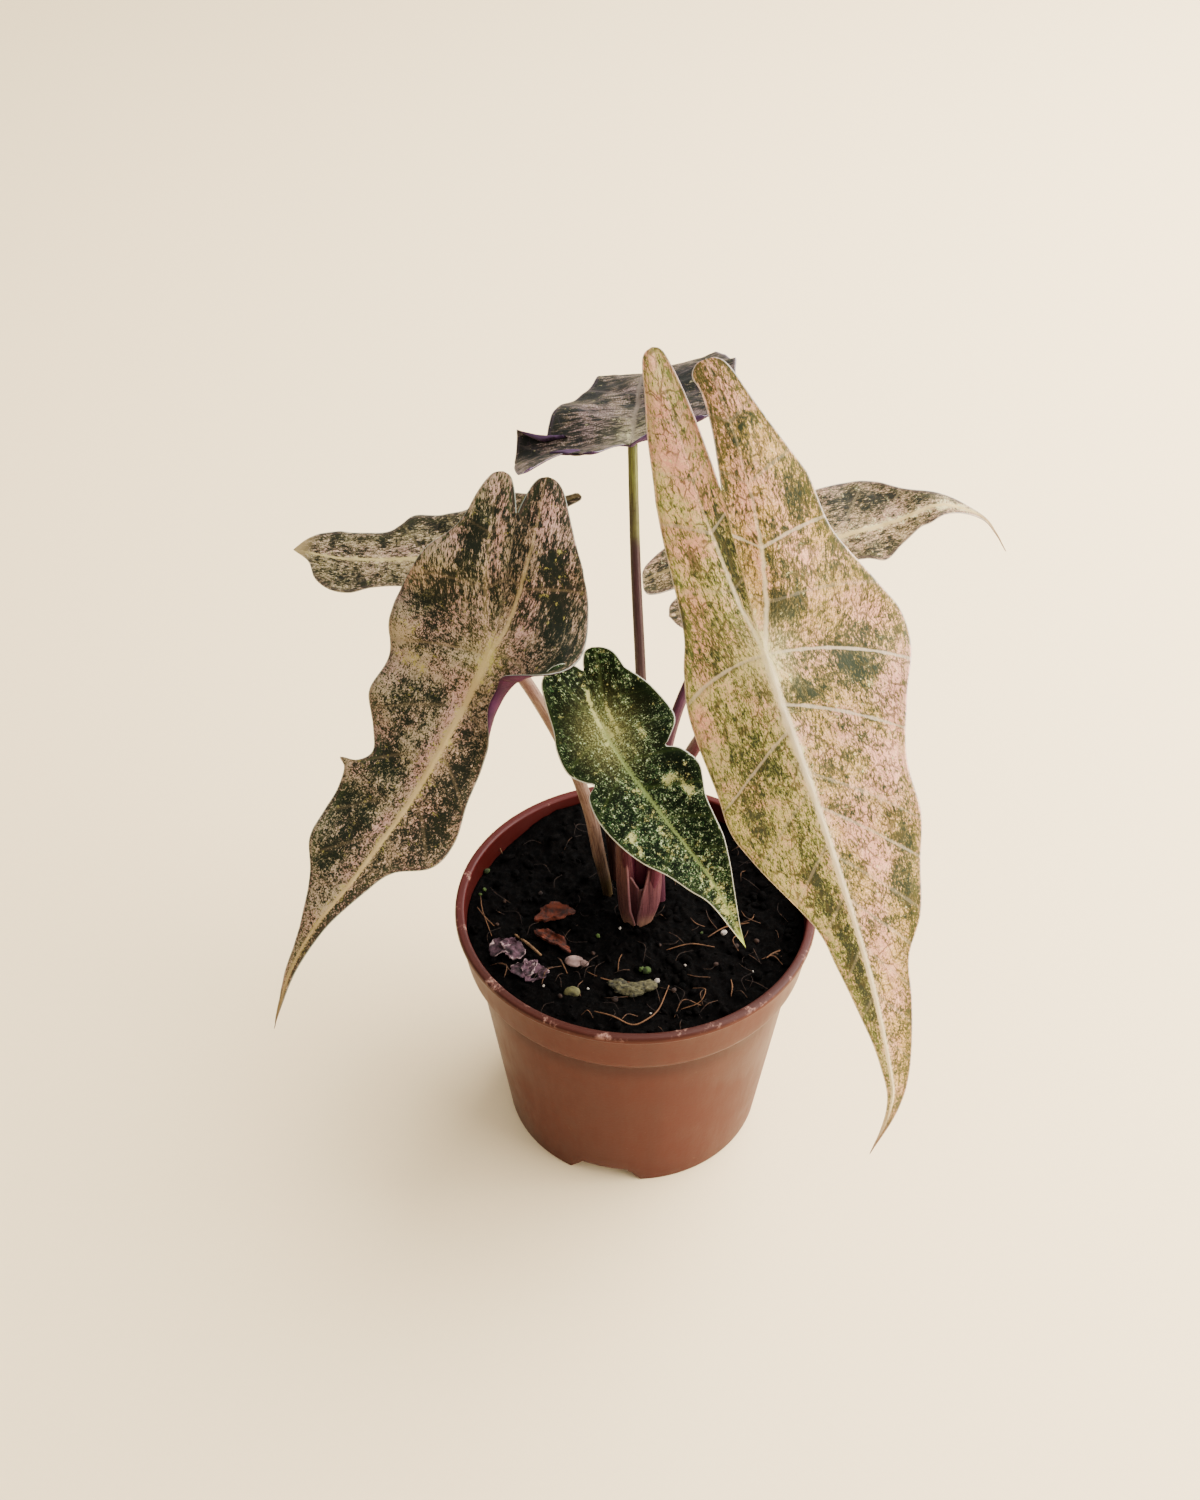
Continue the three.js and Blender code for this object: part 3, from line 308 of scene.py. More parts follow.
            "side_veins": [[-7, 0.3], [0, 0.5], [14, 0.5], [28, 0.4], [42, 0.4]],
        },
        "dark": [[36, 11, 4, 3, 0.9], [59, 6, 4, 2, 0.6], [54, 2.5, 4, 1.5, 0.5], [24, 12, 5, 3, 0.6],
            [49, -7, 7, 2, 0.4], [62, -5, 5, 2, 0.6], [44, 7, 5, 2, 0.4], [-20, 2, 8, 2, 0.6]],
        "blush": [[50, 3, 6, 2, 0.7], [38, 1.5, 6, 2, 0.8], [28, 3, 6, 2, 0.6], [64, 1, 5, 2, 0.6]],
        "pale": [[30, 0, 26, 1.6, 0.6]],
        "stalk": [[-6, 19, 68, 2], [-6.4, 18.8, 84, 1.9], [-8.4, 17.6, 108, 1.8], [-12.4, 19, 138, 1.6],
            [-20, 25, 166, 1.5], [-31, 35, 190, 1.4], [-41, 45, 206, 1.4]],
        # Its low colour is painted dark as shade among the other stalks.
        "stalk_look": {"low": (46, 24, 18), "middle": (76, 50, 38), "high": (112, 100, 58),
            "bends": [[0.3, 0.6], [0.7, 1]], "short": 2.1},
    },
    "right_back": {
        "slot": "leaf_cream_green", "grid": [24, 110, 24], "crinkle": 0.4, "rib": [1.1, 0.4],
        "midrib": [[8, 35, 193], [37, 42, 198], [62, 48, 204], [81, 52, 208], [95, 55, 212], [110, 58, 205],
            [119, 58, 192]],
        "joint": 1, "facing": [[0, -0.4, 0.9], [0, -0.5, 0.85], [0.3, -0.5, 0.85]],
        "sinus": -14, "valley": 1, "wave": {"height": 0.7, "length": 22, "start": 0.6},
        "left": {
            "fold": -5, "curl": -0.4,
            "lobe": [[-35.5, -5.5], [-34, -10], [-30, -13.6], [-23, -17], [-13, -19]],
            "edge": [[0, -20], [14, -20], [27, -19], [36, -18.6], [45, -15.4], [56, -7], [66, -3],
                [77, -0.8], [94, 0]],
            "inner": [[-35.6, -2.4], [-33.4, -0.8], [-24, -0.3]],
            "lobe_vein": [[0, 0], [-6, 3], [-14, 6], [-25, 7.6], [-35, 6.6]],
            "side_veins": [[-20, 0.3], [-8, 0.4], [0, 0.5], [14, 0.5], [28, 0.4], [42, 0.4], [56, 0.3]],
        },
        "right": {
            "fold": -10, "curl": -0.4,
            "lobe": [[-31, 8], [-28, 13], [-21, 16], [-13, 17]],
            "edge": [[0, 15], [14, 11], [26, 8.4], [34, 9], [40, 11], [46, 7.6], [52, 5], [57, 4.8],
                [66, 2.4], [77, 0.8], [94, 0]],
            "inner": [[-29, 4], [-22, 1]],
            "lobe_vein": [[0, 0], [-6, 3], [-14, 6.4], [-25, 8], [-31, 8]],
            "side_veins": [[-18, 0.3], [-8, 0.4], [0, 0.5], [14, 0.5], [28, 0.4], [42, 0.4], [56, 0.3]],
        },
        "dark": [[41, -9.5, 4, 2.5, 0.8], [48, -9, 4, 2.5, 0.8], [36, -14, 5, 3, 0.6],
            [56, -4, 5, 1.6, 0.7], [31, -12, 4, 3, 0.5], [36, 8, 8, 3, 0.4], [-26, -8, 8, 4, 0.4]],
        "blush": [[30, -17, 5, 3, 0.8], [45, -4, 6, 2, 0.6], [-10, 10, 8, 5, 0.5], [-26, 10, 6, 4, 0.6]],
        "pale": [[40, 0, 22, 1.8, 0.7], [70, 0, 14, 2, 0.6]],
        "stalk": [[8.6, 8.5, 68, 2.1], [8.2, 8.6, 84, 2], [7.4, 8.2, 110, 1.9], [7.6, 9.4, 136, 1.8],
            [12.6, 14.4, 162, 1.7], [23, 28.4, 179, 1.6], [33.6, 38.8, 191.5, 1.5], [37, 42, 198, 1.5]],
        "stalk_look": {"low": (70, 32, 42), "middle": (74, 36, 52), "high": (100, 78, 62),
            "bends": [[0.3, 0.5], [0.75, 1]], "short": 2.1},
    },
}

MIDRIB_STEPS = 24
READ_STEP = 1.5
FOLD_STEPS = 36
WAVE_WIDTH = 20
WAVE_OFFSET = 0.37
VALLEY_REACH = 6
VALLEY_LENGTH = 14
TIP_CROWDING = 1.7
BLADE_THICKNESS = 0.55
MARGIN_THICKNESS = 0.3
MARGIN_TAPER = 1.5
RIB_HEIGHT = 1.5
RIB_WIDTH = 1.6
RIB_START = [-8, 2]
RIB_FADES = [1, 6]
RIB_LOST = 9
GLOW_LENGTH = 9
GLOW_WIDTH = 7

# How far along the midrib a side vein gains for each mm outwards, by where it starts.
# Starts below 0 are on the lobe's own vein.
LEAN_STARTS = [-60, -25, 0, 20, 45, 90]
LEAN = [-0.6, -0.3, 0.12, 0.5, 1.0, 1.8]
LEAN_BEND = 0.008
INWARD_LEAN = 0.8
LOBE_VEIN_FADES = [-52, -8, 0.12, 1]

# The range of starts that side veins are looked for in, and where none is left at either end
VEIN_STARTS = (-90, 200)
VEINLESS = (-95, 200)

# Relief of the upper face: veins sink and the skin between puckers, but not at the margin.
VEIN_SINK = 0.22
VEIN_SINK_WIDTH = 1.1
PUCKER_HEIGHT = 0.22
PUCKERS = {"size": 7, "seed": 11, "layers": 3}
CALM_MARGIN = 5
CRINKLES = {"size": 8, "seed": 23, "layers": 2}
CRINKLE_STRETCH = 2.2
CRINKLE_FROM = [4, 16]

# The specks also come in a coarser size, by this many times, and each size has its share of the pattern.
COARSER = 3
MIDDLE_SHARE = 0.5
GRAIN_SHARE = 0.95

# Leaf colours as 0 to 255 red, green and blue, and how the markings are spread.
# patch is the size of the darker clouds in mm. grain and lobe_grain are the specks' width and length
# on the blade and on its lobes. The specks turn to fleck and then to dark above the given levels.
# Pairs are for the left and right halves. lobes is how much fewer the flecks and pinker the ground are on
# each half's lobe, and how much painted shade darkens the strip inside its crease. What a leaf doesn't name
# is as in PLAIN_LOOK.
PLAIN_LOOK = {
    "net": 0.2, "band": 0.4, "lobe_vein": [0.5, 0.5], "side_veins": 0.4, "rim": 0.8, "ragged": 2,
    "shine": 0.15, "glow": 0.7, "grain": [0.5, 1.5], "lobe_grain": [0.5, 1.5], "pinker": [0, 0],
    "lobes": [[0, 0, 0], [0, 0, 0]],
}
LEAF_LOOKS = {
    "right_front": {
        "blush": (228, 156, 136), "ground": [(192, 152, 84), (206, 190, 122)], "pale": (248, 200, 152),
        "cream": (232, 216, 150), "fleck": [(92, 88, 34), (98, 112, 42)], "dark": (36, 46, 28),
        "vein": (240, 218, 176), "side": (206, 186, 156), "line": (74, 66, 30), "edge": (210, 192, 184),
        "tip": (88, 52, 36), "tip_length": 34, "under": (98, 64, 86), "fleck_from": 0.51,
        "dark_from": 0.6, "patch": 9, "grain": [0.5, 1.3], "lobe_grain": [0.5, 1.8], "cloud": 0.4,
        "pinker": [0.02, -0.05], "net": 1, "band": 0.5, "lobe_vein": [0.9, 0.8],
        "shift": [0.517, 0.505], "side_veins": 0.85, "glow": 1, "shine": 0.2, "rim": 0.6, "mark": 0.17,
        "lobes": [[-0.005, -0.02, 0], [0.05, 0.1, 0.5]], "ragged": 1,
    },
    "left_front": {
        "blush": (190, 140, 128), "ground": [(144, 117, 92), (168, 148, 116)], "pale": (198, 170, 142),
        "cream": (176, 162, 84), "fleck": [(48, 52, 31), (56, 66, 36)], "dark": (11, 20, 9),
        "vein": (184, 158, 108), "side": (150, 128, 92), "line": (70, 54, 44), "edge": (140, 146, 132),
        "tip": (86, 66, 40), "tip_length": 20, "under": (62, 28, 50), "fleck_from": 0.475,
        "dark_from": 0.535, "patch": 6, "grain": [0.5, 0.65], "lobe_grain": [0.45, 1.8], "cloud": 0.34,
        "net": 0.15, "band": 0.5, "lobe_vein": [0.8, 0.25], "shift": [0.515, 0.478], "glow": 0.45,
        "shine": 0.12, "mark": 0.15, "lobes": [[0, 0, 0.25], [0, 0, 0.3]], "ragged": 1.5,
    },
    "centre_front": {
        "blush": (74, 98, 58), "ground": [(45, 76, 38), (45, 76, 38)], "pale": (214, 224, 172),
        "cream": (186, 182, 112), "fleck": [(13, 28, 10), (13, 28, 10)], "dark": (2, 7, 1),
        "vein": (108, 122, 70), "side": (56, 70, 28), "line": (34, 46, 18), "edge": (214, 212, 190),
        "tip": (176, 190, 90), "tip_length": 9, "under": (70, 66, 52), "fleck_from": 0.46,
        "dark_from": 0.53, "patch": 5, "grain": [0.5, 0.55], "lobe_grain": [0.5, 1], "cloud": 0.3,
        "net": 0.1, "band": 0.3, "lobe_vein": [0.15, 0.1], "shift": [0.55, 0.55], "glow": 0.6,
        "shine": 0.03, "rim": 0.7, "mark": 0.2, "ragged": 5,
    },
    "top_back": {
        "blush": (96, 76, 76), "ground": [(84, 70, 54), (84, 70, 54)], "pale": (150, 132, 122),
        "cream": (170, 160, 120), "fleck": [(36, 35, 23), (36, 35, 23)], "dark": (15, 18, 14),
        "vein": (96, 84, 74), "side": (92, 82, 74), "line": (64, 52, 58), "edge": (150, 140, 146),
        "tip": (120, 100, 90), "tip_length": 8, "under": (60, 42, 62), "fleck_from": 0.47,
        "dark_from": 0.54, "patch": 8, "grain": [4.5, 0.8], "lobe_grain": [4.5, 0.8], "cloud": 0.55,
        "net": 0.3, "band": 0.3, "shift": [0.512, 0.512], "glow": 0.5, "shine": 0.12, "mark": 0.24,
    },
    "left_back": {
        "blush": (182, 142, 128), "ground": [(148, 130, 96), (148, 130, 96)], "pale": (222, 204, 164),
        "cream": (210, 196, 130), "fleck": [(60, 60, 34), (60, 60, 34)], "dark": (14, 19, 10),
        "vein": (196, 176, 116), "side": (164, 146, 96), "line": (84, 72, 62), "edge": (160, 156, 140),
        "tip": (150, 130, 90), "tip_length": 8, "under": (84, 58, 70), "fleck_from": 0.48,
        "dark_from": 0.565, "patch": 6, "cloud": 0.5, "shift": [0.506, 0.506], "mark": 0.2,
    },
    "right_back": {
        "blush": (164, 124, 106), "ground": [(136, 110, 78), (136, 110, 78)], "pale": (224, 196, 150),
        "cream": (220, 206, 150), "fleck": [(74, 70, 42), (74, 70, 42)], "dark": (26, 28, 17),
        "vein": (200, 172, 112), "side": (180, 160, 116), "line": (90, 72, 64), "edge": (184, 172, 160),
        "tip": (112, 80, 42), "tip_length": 22, "under": (100, 70, 86), "fleck_from": 0.49,
        "dark_from": 0.57, "patch": 5, "cloud": 0.4, "shift": [0.508, 0.508], "side_veins": 0.5,
        "mark": 0.18,
    },
}


# Helpers for curves, noise and meshes

def smooth_curve(points, steps):
    """Points on a smooth line through the given ones, with the given number of steps between two."""
    points = np.asarray(points, float)
    ends = np.concatenate([[2 * points[0] - points[1]], points, [2 * points[-1] - points[-2]]])
    t = (np.arange(steps) / steps)[:, None]
    spans = []
    for before, start, end, after in zip(ends, ends[1:], ends[2:], ends[3:]):
        leave = (end - before) / 2
        arrive = (after - start) / 2
        spans.append(start * (2 * t**3 - 3 * t**2 + 1) + leave * (t**3 - 2 * t**2 + t)
                     + end * (3 * t**2 - 2 * t**3) + arrive * (t**3 - t**2))
    spans.append(points[-1:])
    return np.concatenate(spans)


def lengths_along(points):
    """How far along a line each of its points is."""
    return np.concatenate([[0], np.cumsum(np.linalg.norm(np.diff(points, axis=0), axis=1))])


def at_places(where, known, rows):
    """Rows of numbers read at places between those where they are known."""
    return np.stack([np.interp(where, known, values) for values in np.asarray(rows, float).T], axis=-1)


def read_curve(points, shares):
    """The places on a smooth line through points at the given shares of its length."""
    line = smooth_curve(points, MIDRIB_STEPS)
    lengths = lengths_along(line)
    return at_places(np.asarray(shares) * lengths[-1], lengths, line)


def smooth_step(low, high, value):
    t = np.clip((np.asarray(value, float) - low) / (high - low), 0, 1)
    return t * t * (3 - 2 * t)


def noise_at(points, size, seed):
    """Smooth noise from -1 to 1 with bumps of the given size, the same on every run."""
    scaled = np.asarray(points, float) / size
    base = np.floor(scaled).astype(np.int64)
    part = scaled - base
    part = part * part * (3 - 2 * part)
    primes = np.array([73856093, 19349663, 83492791])[: base.shape[1]]
    total = np.zeros(len(base))
    for corner in np.ndindex(*(2,) * base.shape[1]):
        key = ((base + corner) * primes).sum(axis=1) + seed * 7919
        key = (key ^ (key >> 13)) * 1274126177
        key = (key ^ (key >> 16)) & 0xFFFF
        weight = np.prod(np.where(corner, part, 1 - part), axis=1)
        total += weight * (key / 32767.5 - 1)
    return total


def layered_noise(points, size, seed, layers):
    """Noise with finer and weaker layers on top of each other."""
    return sum(noise_at(points, size / 2**k, seed + k) / 1.7**k for k in range(layers))


def turned(points, degrees):
    """The points turned about Z."""
    cos, sin = math.cos(math.radians(degrees)), math.sin(math.radians(degrees))
    spin = np.eye(points.shape[1])
    spin[:2, :2] = [[cos, sin], [-sin, cos]]
    return points @ spin


def add_object(name, data):
    made = bpy.data.objects.new(name, data)
    bpy.context.scene.collection.objects.link(made)
    return made


def make_mesh(name, points, faces):
    """A mesh of points given in mm."""
    mesh = bpy.data.meshes.new(name)
    mesh.from_pydata((np.asarray(points) * MM).tolist(), [], faces)
    return mesh


def make_piece(name, points, faces, material, nodes=(), attributes=None):
    """A smooth piece that stands for the nodes. An attribute holds three numbers for each point."""
    mesh = make_mesh(name, points, faces)
    for key, values in (attributes or {}).items():
        layer = mesh.attributes.new(key, "FLOAT_VECTOR", "POINT")
        layer.data.foreach_set("vector", np.asarray(values, np.float32).ravel())
    mesh.polygons.foreach_set("use_smooth", [True] * len(mesh.polygons))
    mesh.materials.append(material)
    mesh.update()
    piece = add_object(name, mesh)
    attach(piece, "root")
    if nodes:
        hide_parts(*nodes)
    return piece


class Parts:
    """Gathers several closed shapes into one mesh."""

    def __init__(self):
        self.points = []
        self.faces = []
        self.values = []
        self.count = 0

    def add(self, points, faces, values=(0, 0, 0)):
        """values are one triple for the whole shape, or one for each point."""
        self.faces += [[corner + self.count for corner in face] for face in faces]
        self.points.append(points)
        self.values.append(np.broadcast_to(np.asarray(values, float), (len(points), 3)))
        self.count += len(points)

    def piece(self, name, material, slot, nodes=()):
        return make_piece(name, np.concatenate(self.points), self.faces, material, nodes,
                          {"own": np.concatenate(self.values)})


def grid_faces(rows, columns, closed=False, first=0):
    """Quads of a grid listed row by row from its first point. A closed grid is a ring of columns."""
    faces = []
    for row in range(rows - 1):
        low = first + row * columns
        for column in range(columns if closed else columns - 1):
            after = (column + 1) % columns
            faces.append([low + column, low + after, low + columns + after, low + columns + column])
    return faces


def capped_grid(rows, columns):
    """Quads of a closed grid, with one face over each of its ends."""
    last = (rows - 1) * columns
    return [*grid_faces(rows, columns, closed=True),
            [*reversed(range(columns))], [*range(last, last + columns)]]


def fan(middle, ring, sides, below=False):
    """Triangles from a middle point to a ring of points, facing down where they are below."""
    faces = [[middle, ring + k, ring + (k + 1) % sides] for k in range(sides)]
    return [[a, c, b] for a, b, c in faces] if below else faces


def close_sheet(faces, count):
    """Adds the lower face, count points further on, and the strip round the margin."""
    edges = {}
    for face in faces:
        for start, end in zip(face, face[1:] + face[:1]):
            if (end, start) in edges:
                del edges[(end, start)]
            else:
                edges[(start, end)] = True
    lower = [[corner + count for corner in reversed(face)] for face in faces]
    return faces + lower + [[start, start + count, end + count, end] for start, end in edges]


def tube(points, sides, steps, swell=None):
    """A closed round tube through [x, y, z, radius] points.

    Gives its points, its faces and for each point its share of the length, its direction round
    the tube as a share of a turn, and its radius.
    """
    points = np.asarray(points, float)
    centres = smooth_curve(points[:, :3], steps)
    radii = np.interp(np.arange(len(centres)) / steps, np.arange(len(points)), points[:, 3])
    lengths = lengths_along(centres)
    tangents = np.gradient(centres, axis=0)
    tangents /= np.linalg.norm(tangents, axis=1, keepdims=True)
    across = np.array([1.0, 0, 0]) if abs(tangents[0][0]) < 0.9 else np.array([0, 1.0, 0])
    turns = np.arange(sides) / sides
    rings = []
    values = []
    for centre, tangent, radius, share in zip(centres, tangents, radii, lengths / lengths[-1]):
        across = across - tangent * np.dot(across, tangent)
        across /= np.linalg.norm(across)
        side = np.cross(tangent, across)
        reach = radius * (1 if swell is None else swell(turns))
        ring = (np.cos(2 * np.pi * turns) * reach)[:, None] * across
        ring = ring + (np.sin(2 * np.pi * turns) * reach)[:, None] * side
        rings.append(centre + ring)
        values += [[share, turn, radius] for turn in turns]
    last = len(rings) * sides
    faces = grid_faces(len(rings), sides, closed=True)
    faces += fan(last, 0, sides, below=True) + fan(last + 1, last - sides, sides)
    ends = [centres[0] - tangents[0] * radii[0] * 0.3, centres[-1] + tangents[-1] * radii[-1] * 0.3]
    values += [[0, 0, radii[0]], [1, 0, radii[-1]]]
    return np.concatenate(rings + [ends]), faces, np.array(values)


# Leaf blades

class Blade:
    """A leaf blade as a surface over the distance along its midrib and out from it."""

    def __init__(self, leaf):
        self.leaf = leaf
        self.points = smooth_curve(leaf["midrib"], MIDRIB_STEPS)
        lengths = lengths_along(self.points)
        self.along = lengths - lengths[leaf["joint"] * MIDRIB_STEPS]
        self.start = self.along[0]
        self.end = self.along[-1]

    def midrib_at(self, s):
        return at_places(s, self.along, self.points)

    def frame_at(self, s):
        """The midrib's place, the upper face's direction there, and the way to the right half."""
        inside = np.clip(s, self.start, self.end)
        back = self.midrib_at(np.maximum(self.start, inside - READ_STEP))
        ahead = self.midrib_at(np.minimum(self.end, inside + READ_STEP))
        tangent = ahead - back
        tangent /= np.linalg.norm(tangent, axis=1, keepdims=True)
        place = self.midrib_at(inside) + tangent * (s - inside)[:, None]
        up = at_places(inside, [self.start, 0, self.end], self.leaf["facing"])
        up -= tangent * (up * tangent).sum(axis=1, keepdims=True)
        up /= np.linalg.norm(up, axis=1, keepdims=True)
        return place, up, np.cross(tangent, up)

    def points_at(self, s, out):
        """The upper face at distances along the midrib and out from it, right halves positive."""
        place, up, right = self.frame_at(s)
        width = np.abs(out)
        on_right = out > 0
        sideways = np.zeros(len(s))
        rise = np.zeros(len(s))
        for step in range(FOLD_STEPS):
            reached = (step + 0.5) * width / FOLD_STEPS
            angle = np.zeros(len(s))
            for half, here in ((self.leaf["right"], on_right), (self.leaf["left"], ~on_right)):
                bend = half["fold"] + half["curl"] * reached
                for along, reach, start, turn in half.get("ripples", []):
                    beside = np.exp(-(((s - along) / reach) ** 2))
                    bend = bend + turn * beside * np.maximum(0, reached - start)
                angle = np.where(here, bend, angle)
            sideways += np.cos(np.radians(angle)) * width / FOLD_STEPS
            rise += np.sin(np.radians(angle)) * width / FOLD_STEPS
        wave = self.leaf["wave"]
        phase = np.where(on_right, wave["start"], wave["start"] + WAVE_OFFSET)
        swing = np.sin(2 * np.pi * (s / wave["length"] + phase))
        rise += wave["height"] * swing * (width / WAVE_WIDTH) ** 2
        trough = np.exp(-((width / VALLEY_REACH) ** 2))
        rise -= self.leaf["valley"] * smooth_step(0, VALLEY_LENGTH, -s) * trough
        return place + right * (np.sign(out) * sideways)[:, None] + up * rise[:, None]


def half_rows(blade, half):
    """One half of the blade as rows of [along, out] places, from the lobe's tip to the blade's tip."""
    lobe_rows, edge_rows, column_count = blade.leaf["grid"]
    crowded = (np.arange(lobe_rows) / lobe_rows) ** TIP_CROWDING
    even = np.arange(edge_rows) / edge_rows
    sinus = blade.leaf["sinus"]
    lobe = half["lobe"]
    outer = np.concatenate([read_curve(lobe, crowded), read_curve([lobe[-1], *half["edge"]], even)])
    midrib = np.stack([sinus + (blade.end - sinus) * even, np.zeros(edge_rows)], axis=1)
    inner = np.concatenate([read_curve([lobe[0], *half["inner"], [sinus, 0]], crowded), midrib])
    share = np.linspace(0, 1, column_count)
    share = (share + share**2) / 2
    return inner[:, None] + (outer - inner)[:, None] * share[None, :, None], share


def blade_grid(blade):
    """The blade laid flat: its [along, out] places, how far each is from the margin, and its quads."""
    lobe_rows = blade.leaf["grid"][0]
    places = []
    margins = []
    faces = []
    middle = {}
    for key in ("left", "right"):
        rows, share = half_rows(blade, blade.leaf[key])
        across = np.linalg.norm(rows[:, -1] - rows[:, 0], axis=1)
        ids = np.zeros(rows.shape[:2], int)
        for i, row in enumerate(rows):
            on_lobe = i < lobe_rows
            for c, place in enumerate(row):
                if i == 0 and c > 0:
                    ids[i, c] = ids[0, 0]
                elif not on_lobe and c == 0 and i in middle:
                    ids[i, c] = middle[i]
                else:
                    ids[i, c] = len(places)
                    places.append(place)
                    inside = min(share[c], 1 - share[c]) if on_lobe else 1 - share[c]
                    margins.append(inside * across[i])
                    if not on_lobe and c == 0:
                        middle[i] = ids[i, c]
        tip = middle.setdefault("tip", len(places))
        if tip == len(places):
            places.append([blade.end, 0])
            margins.append(0)
        ids = np.vstack([ids, np.full(ids.shape[1], tip)])
        for before, after in zip(ids, ids[1:]):
            for c in range(len(before) - 1):
                corners = list(dict.fromkeys([before[c], before[c + 1], after[c + 1], after[c]]))
                faces.append(corners if key == "right" else corners[::-1])
    return np.array(places, float), np.array(margins), faces


def side_vein_field(half, s, width):
    """Side veins as a number that is whole on each, with the mm between whole numbers and the strength."""
    lobe = np.array(half["lobe_vein"], float)[::-1]
    starts = np.arange(*VEIN_STARTS, 1.0)
    vein_out = np.interp(starts, *lobe.T)
    vein_out[starts > 0] = 0
    lean = np.interp(starts, LEAN_STARTS, LEAN)
    reach = width[:, None] - vein_out
    outward = lean * reach + LEAN_BEND * reach * np.abs(reach)
    reached = starts + np.where(reach > 0, outward, INWARD_LEAN * reach)
    before = np.clip((reached < s[:, None]).sum(axis=1) - 1, 0, len(starts) - 2)
    rows = np.arange(len(s))
    low = reached[rows, before]
    span = np.maximum(reached[rows, before + 1] - low, 1e-3)
    start = starts[before] + np.clip((s - low) / span, 0, 1)
    side = np.array([[VEINLESS[0], 0], *half["side_veins"], [VEINLESS[1], 0]], float)
    number = np.interp(start, side[:, 0], np.arange(len(side)))
    gaps = np.diff(side[:, 0])
    gap = gaps[np.clip(number.astype(int), 0, len(gaps) - 1)]
    strength = np.interp(start, *side.T)
    return number, gap * span / np.sqrt(1 + lean[before] ** 2), strength


def mark_field(marks, s, out):
    """How strongly a list of marks covers each place."""
    total = np.zeros(len(s))
    for along, across, reach_along, reach_out, amount in marks:
        distance = ((s - along) / reach_along) ** 2 + ((out - across) / reach_out) ** 2
        total += amount * np.exp(-distance)
    return total


def blade_attributes(blade, s, out, margin):
    """What the leaf material reads at each point of the upper face, three numbers under each name."""
    leaf = blade.leaf
    width = np.abs(out)
    number, spacing, strength, lobe, across = np.zeros((5, len(s)))
    for half, here in ((leaf["right"], out > 0), (leaf["left"], out <= 0)):
        number[here], spacing[here], strength[here] = side_vein_field(half, s[here], width[here])
        vein_out = np.interp(s[here], *np.array(half["lobe_vein"], float)[::-1].T)
        lobe[here] = np.where(s[here] < 0, width[here] - vein_out, width[here] + s[here])
        across[here] = width[here] - np.where(s[here] < 0, vein_out, 0)
    thick, thin = leaf["rib"]
    rib_width = np.interp(s, [-20, 0, blade.end], [thick * 0.5, thick, thin])
    rib = width / rib_width + RIB_LOST * smooth_step(*RIB_FADES, -s)
    glow = np.exp(-((s / GLOW_LENGTH) ** 2) - (width / GLOW_WIDTH) ** 2)
    fields = {
        "place": (out, s, np.sign(out) * 3),
        "side": (number, spacing, strength),
        "rib": (rib, lobe, glow),
        "edge": (margin, np.zeros(len(s)), across),
        "marks": [mark_field(leaf[key], s, out) for key in ("dark", "blush", "pale")],
    }
    return {key: np.stack(values, axis=1) for key, values in fields.items()}


def blade_relief(s, out, fields, crinkle):
    """Small heights on the upper face in mm: sunk side veins, puckers between them, and crinkles."""
    number, spacing, strength = fields["side"].T
    distance = np.abs(number - np.round(number)) * spacing
    sunk = strength * np.exp(-((distance / VEIN_SINK_WIDTH) ** 2))
    ripple = layered_noise(np.stack([out, s], axis=1), **PUCKERS)
    inside = smooth_step(0, CALM_MARGIN, fields["edge"][:, 0])
    folds = layered_noise(np.stack([out / CRINKLE_STRETCH, s], axis=1), **CRINKLES)
    away = smooth_step(*CRINKLE_FROM, np.hypot(s, out))
    return inside * (PUCKER_HEIGHT * ripple - VEIN_SINK * sunk) + crinkle * away * folds


def corner_normals(points, faces):
    """The area-weighted normal at each point of a mesh."""
    first, second, third, last = (np.array([face[k] for face in faces]) for k in (0, 1, 2, -1))
    normal = np.cross(points[third] - points[first], points[last] - points[second])
    thin = third == last
    normal[thin] = np.cross(points[second] - points[first], points[third] - points[first])[thin]
    total = np.zeros_like(points)
    for corner in (first, second, third, last):
        np.add.at(total, corner, normal)
    return total / np.maximum(np.linalg.norm(total, axis=1, keepdims=True), 1e-9)


def make_blade(name, leaf):
    """A closed blade: an upper and a lower face on the same grid, joined at the margin."""
    blade = Blade(leaf)
    places, margins, faces = blade_grid(blade)
    s, out = places.T
    upper = blade.points_at(s, out)
    normals = corner_normals(upper, faces)
    taper = smooth_step(*RIB_START, s) * np.maximum(0, 1 - s / blade.end)
    rib = RIB_HEIGHT * taper * np.exp(-((out / RIB_WIDTH) ** 2))
    body = MARGIN_THICKNESS + (BLADE_THICKNESS - MARGIN_THICKNESS) * smooth_step(0, MARGIN_TAPER, margins)
    up = blade_attributes(blade, s, out, margins)
    upper = upper + normals * blade_relief(s, out, up, leaf["crinkle"])[:, None]
    lower = upper - normals * (body + rib)[:, None]
    under = {key: values.copy() for key, values in up.items()}
    under["edge"][:, 1] = 1
    attributes = {key: np.concatenate([up[key], under[key]]) for key in up}
    return make_piece(f"blade_{name}", np.concatenate([upper, lower]), close_sheet(faces, len(places)),
                      leaf_material(name, blade.end), [f"leaf_{name}"], attributes)


# Materials. Colours are 0 to 255. Places in them are metres, but on the leaves they are the mesh's mm.

def paint(red, green, blue):
    """A colour given as 0 to 255, as the shader's linear values."""
    channels = [value / 255 for value in (red, green, blue)]
    linear = [value / 12.92 if value <= 0.04045 else ((value + 0.055) / 1.055) ** 2.4 for value in channels]
    return (*linear, 1)


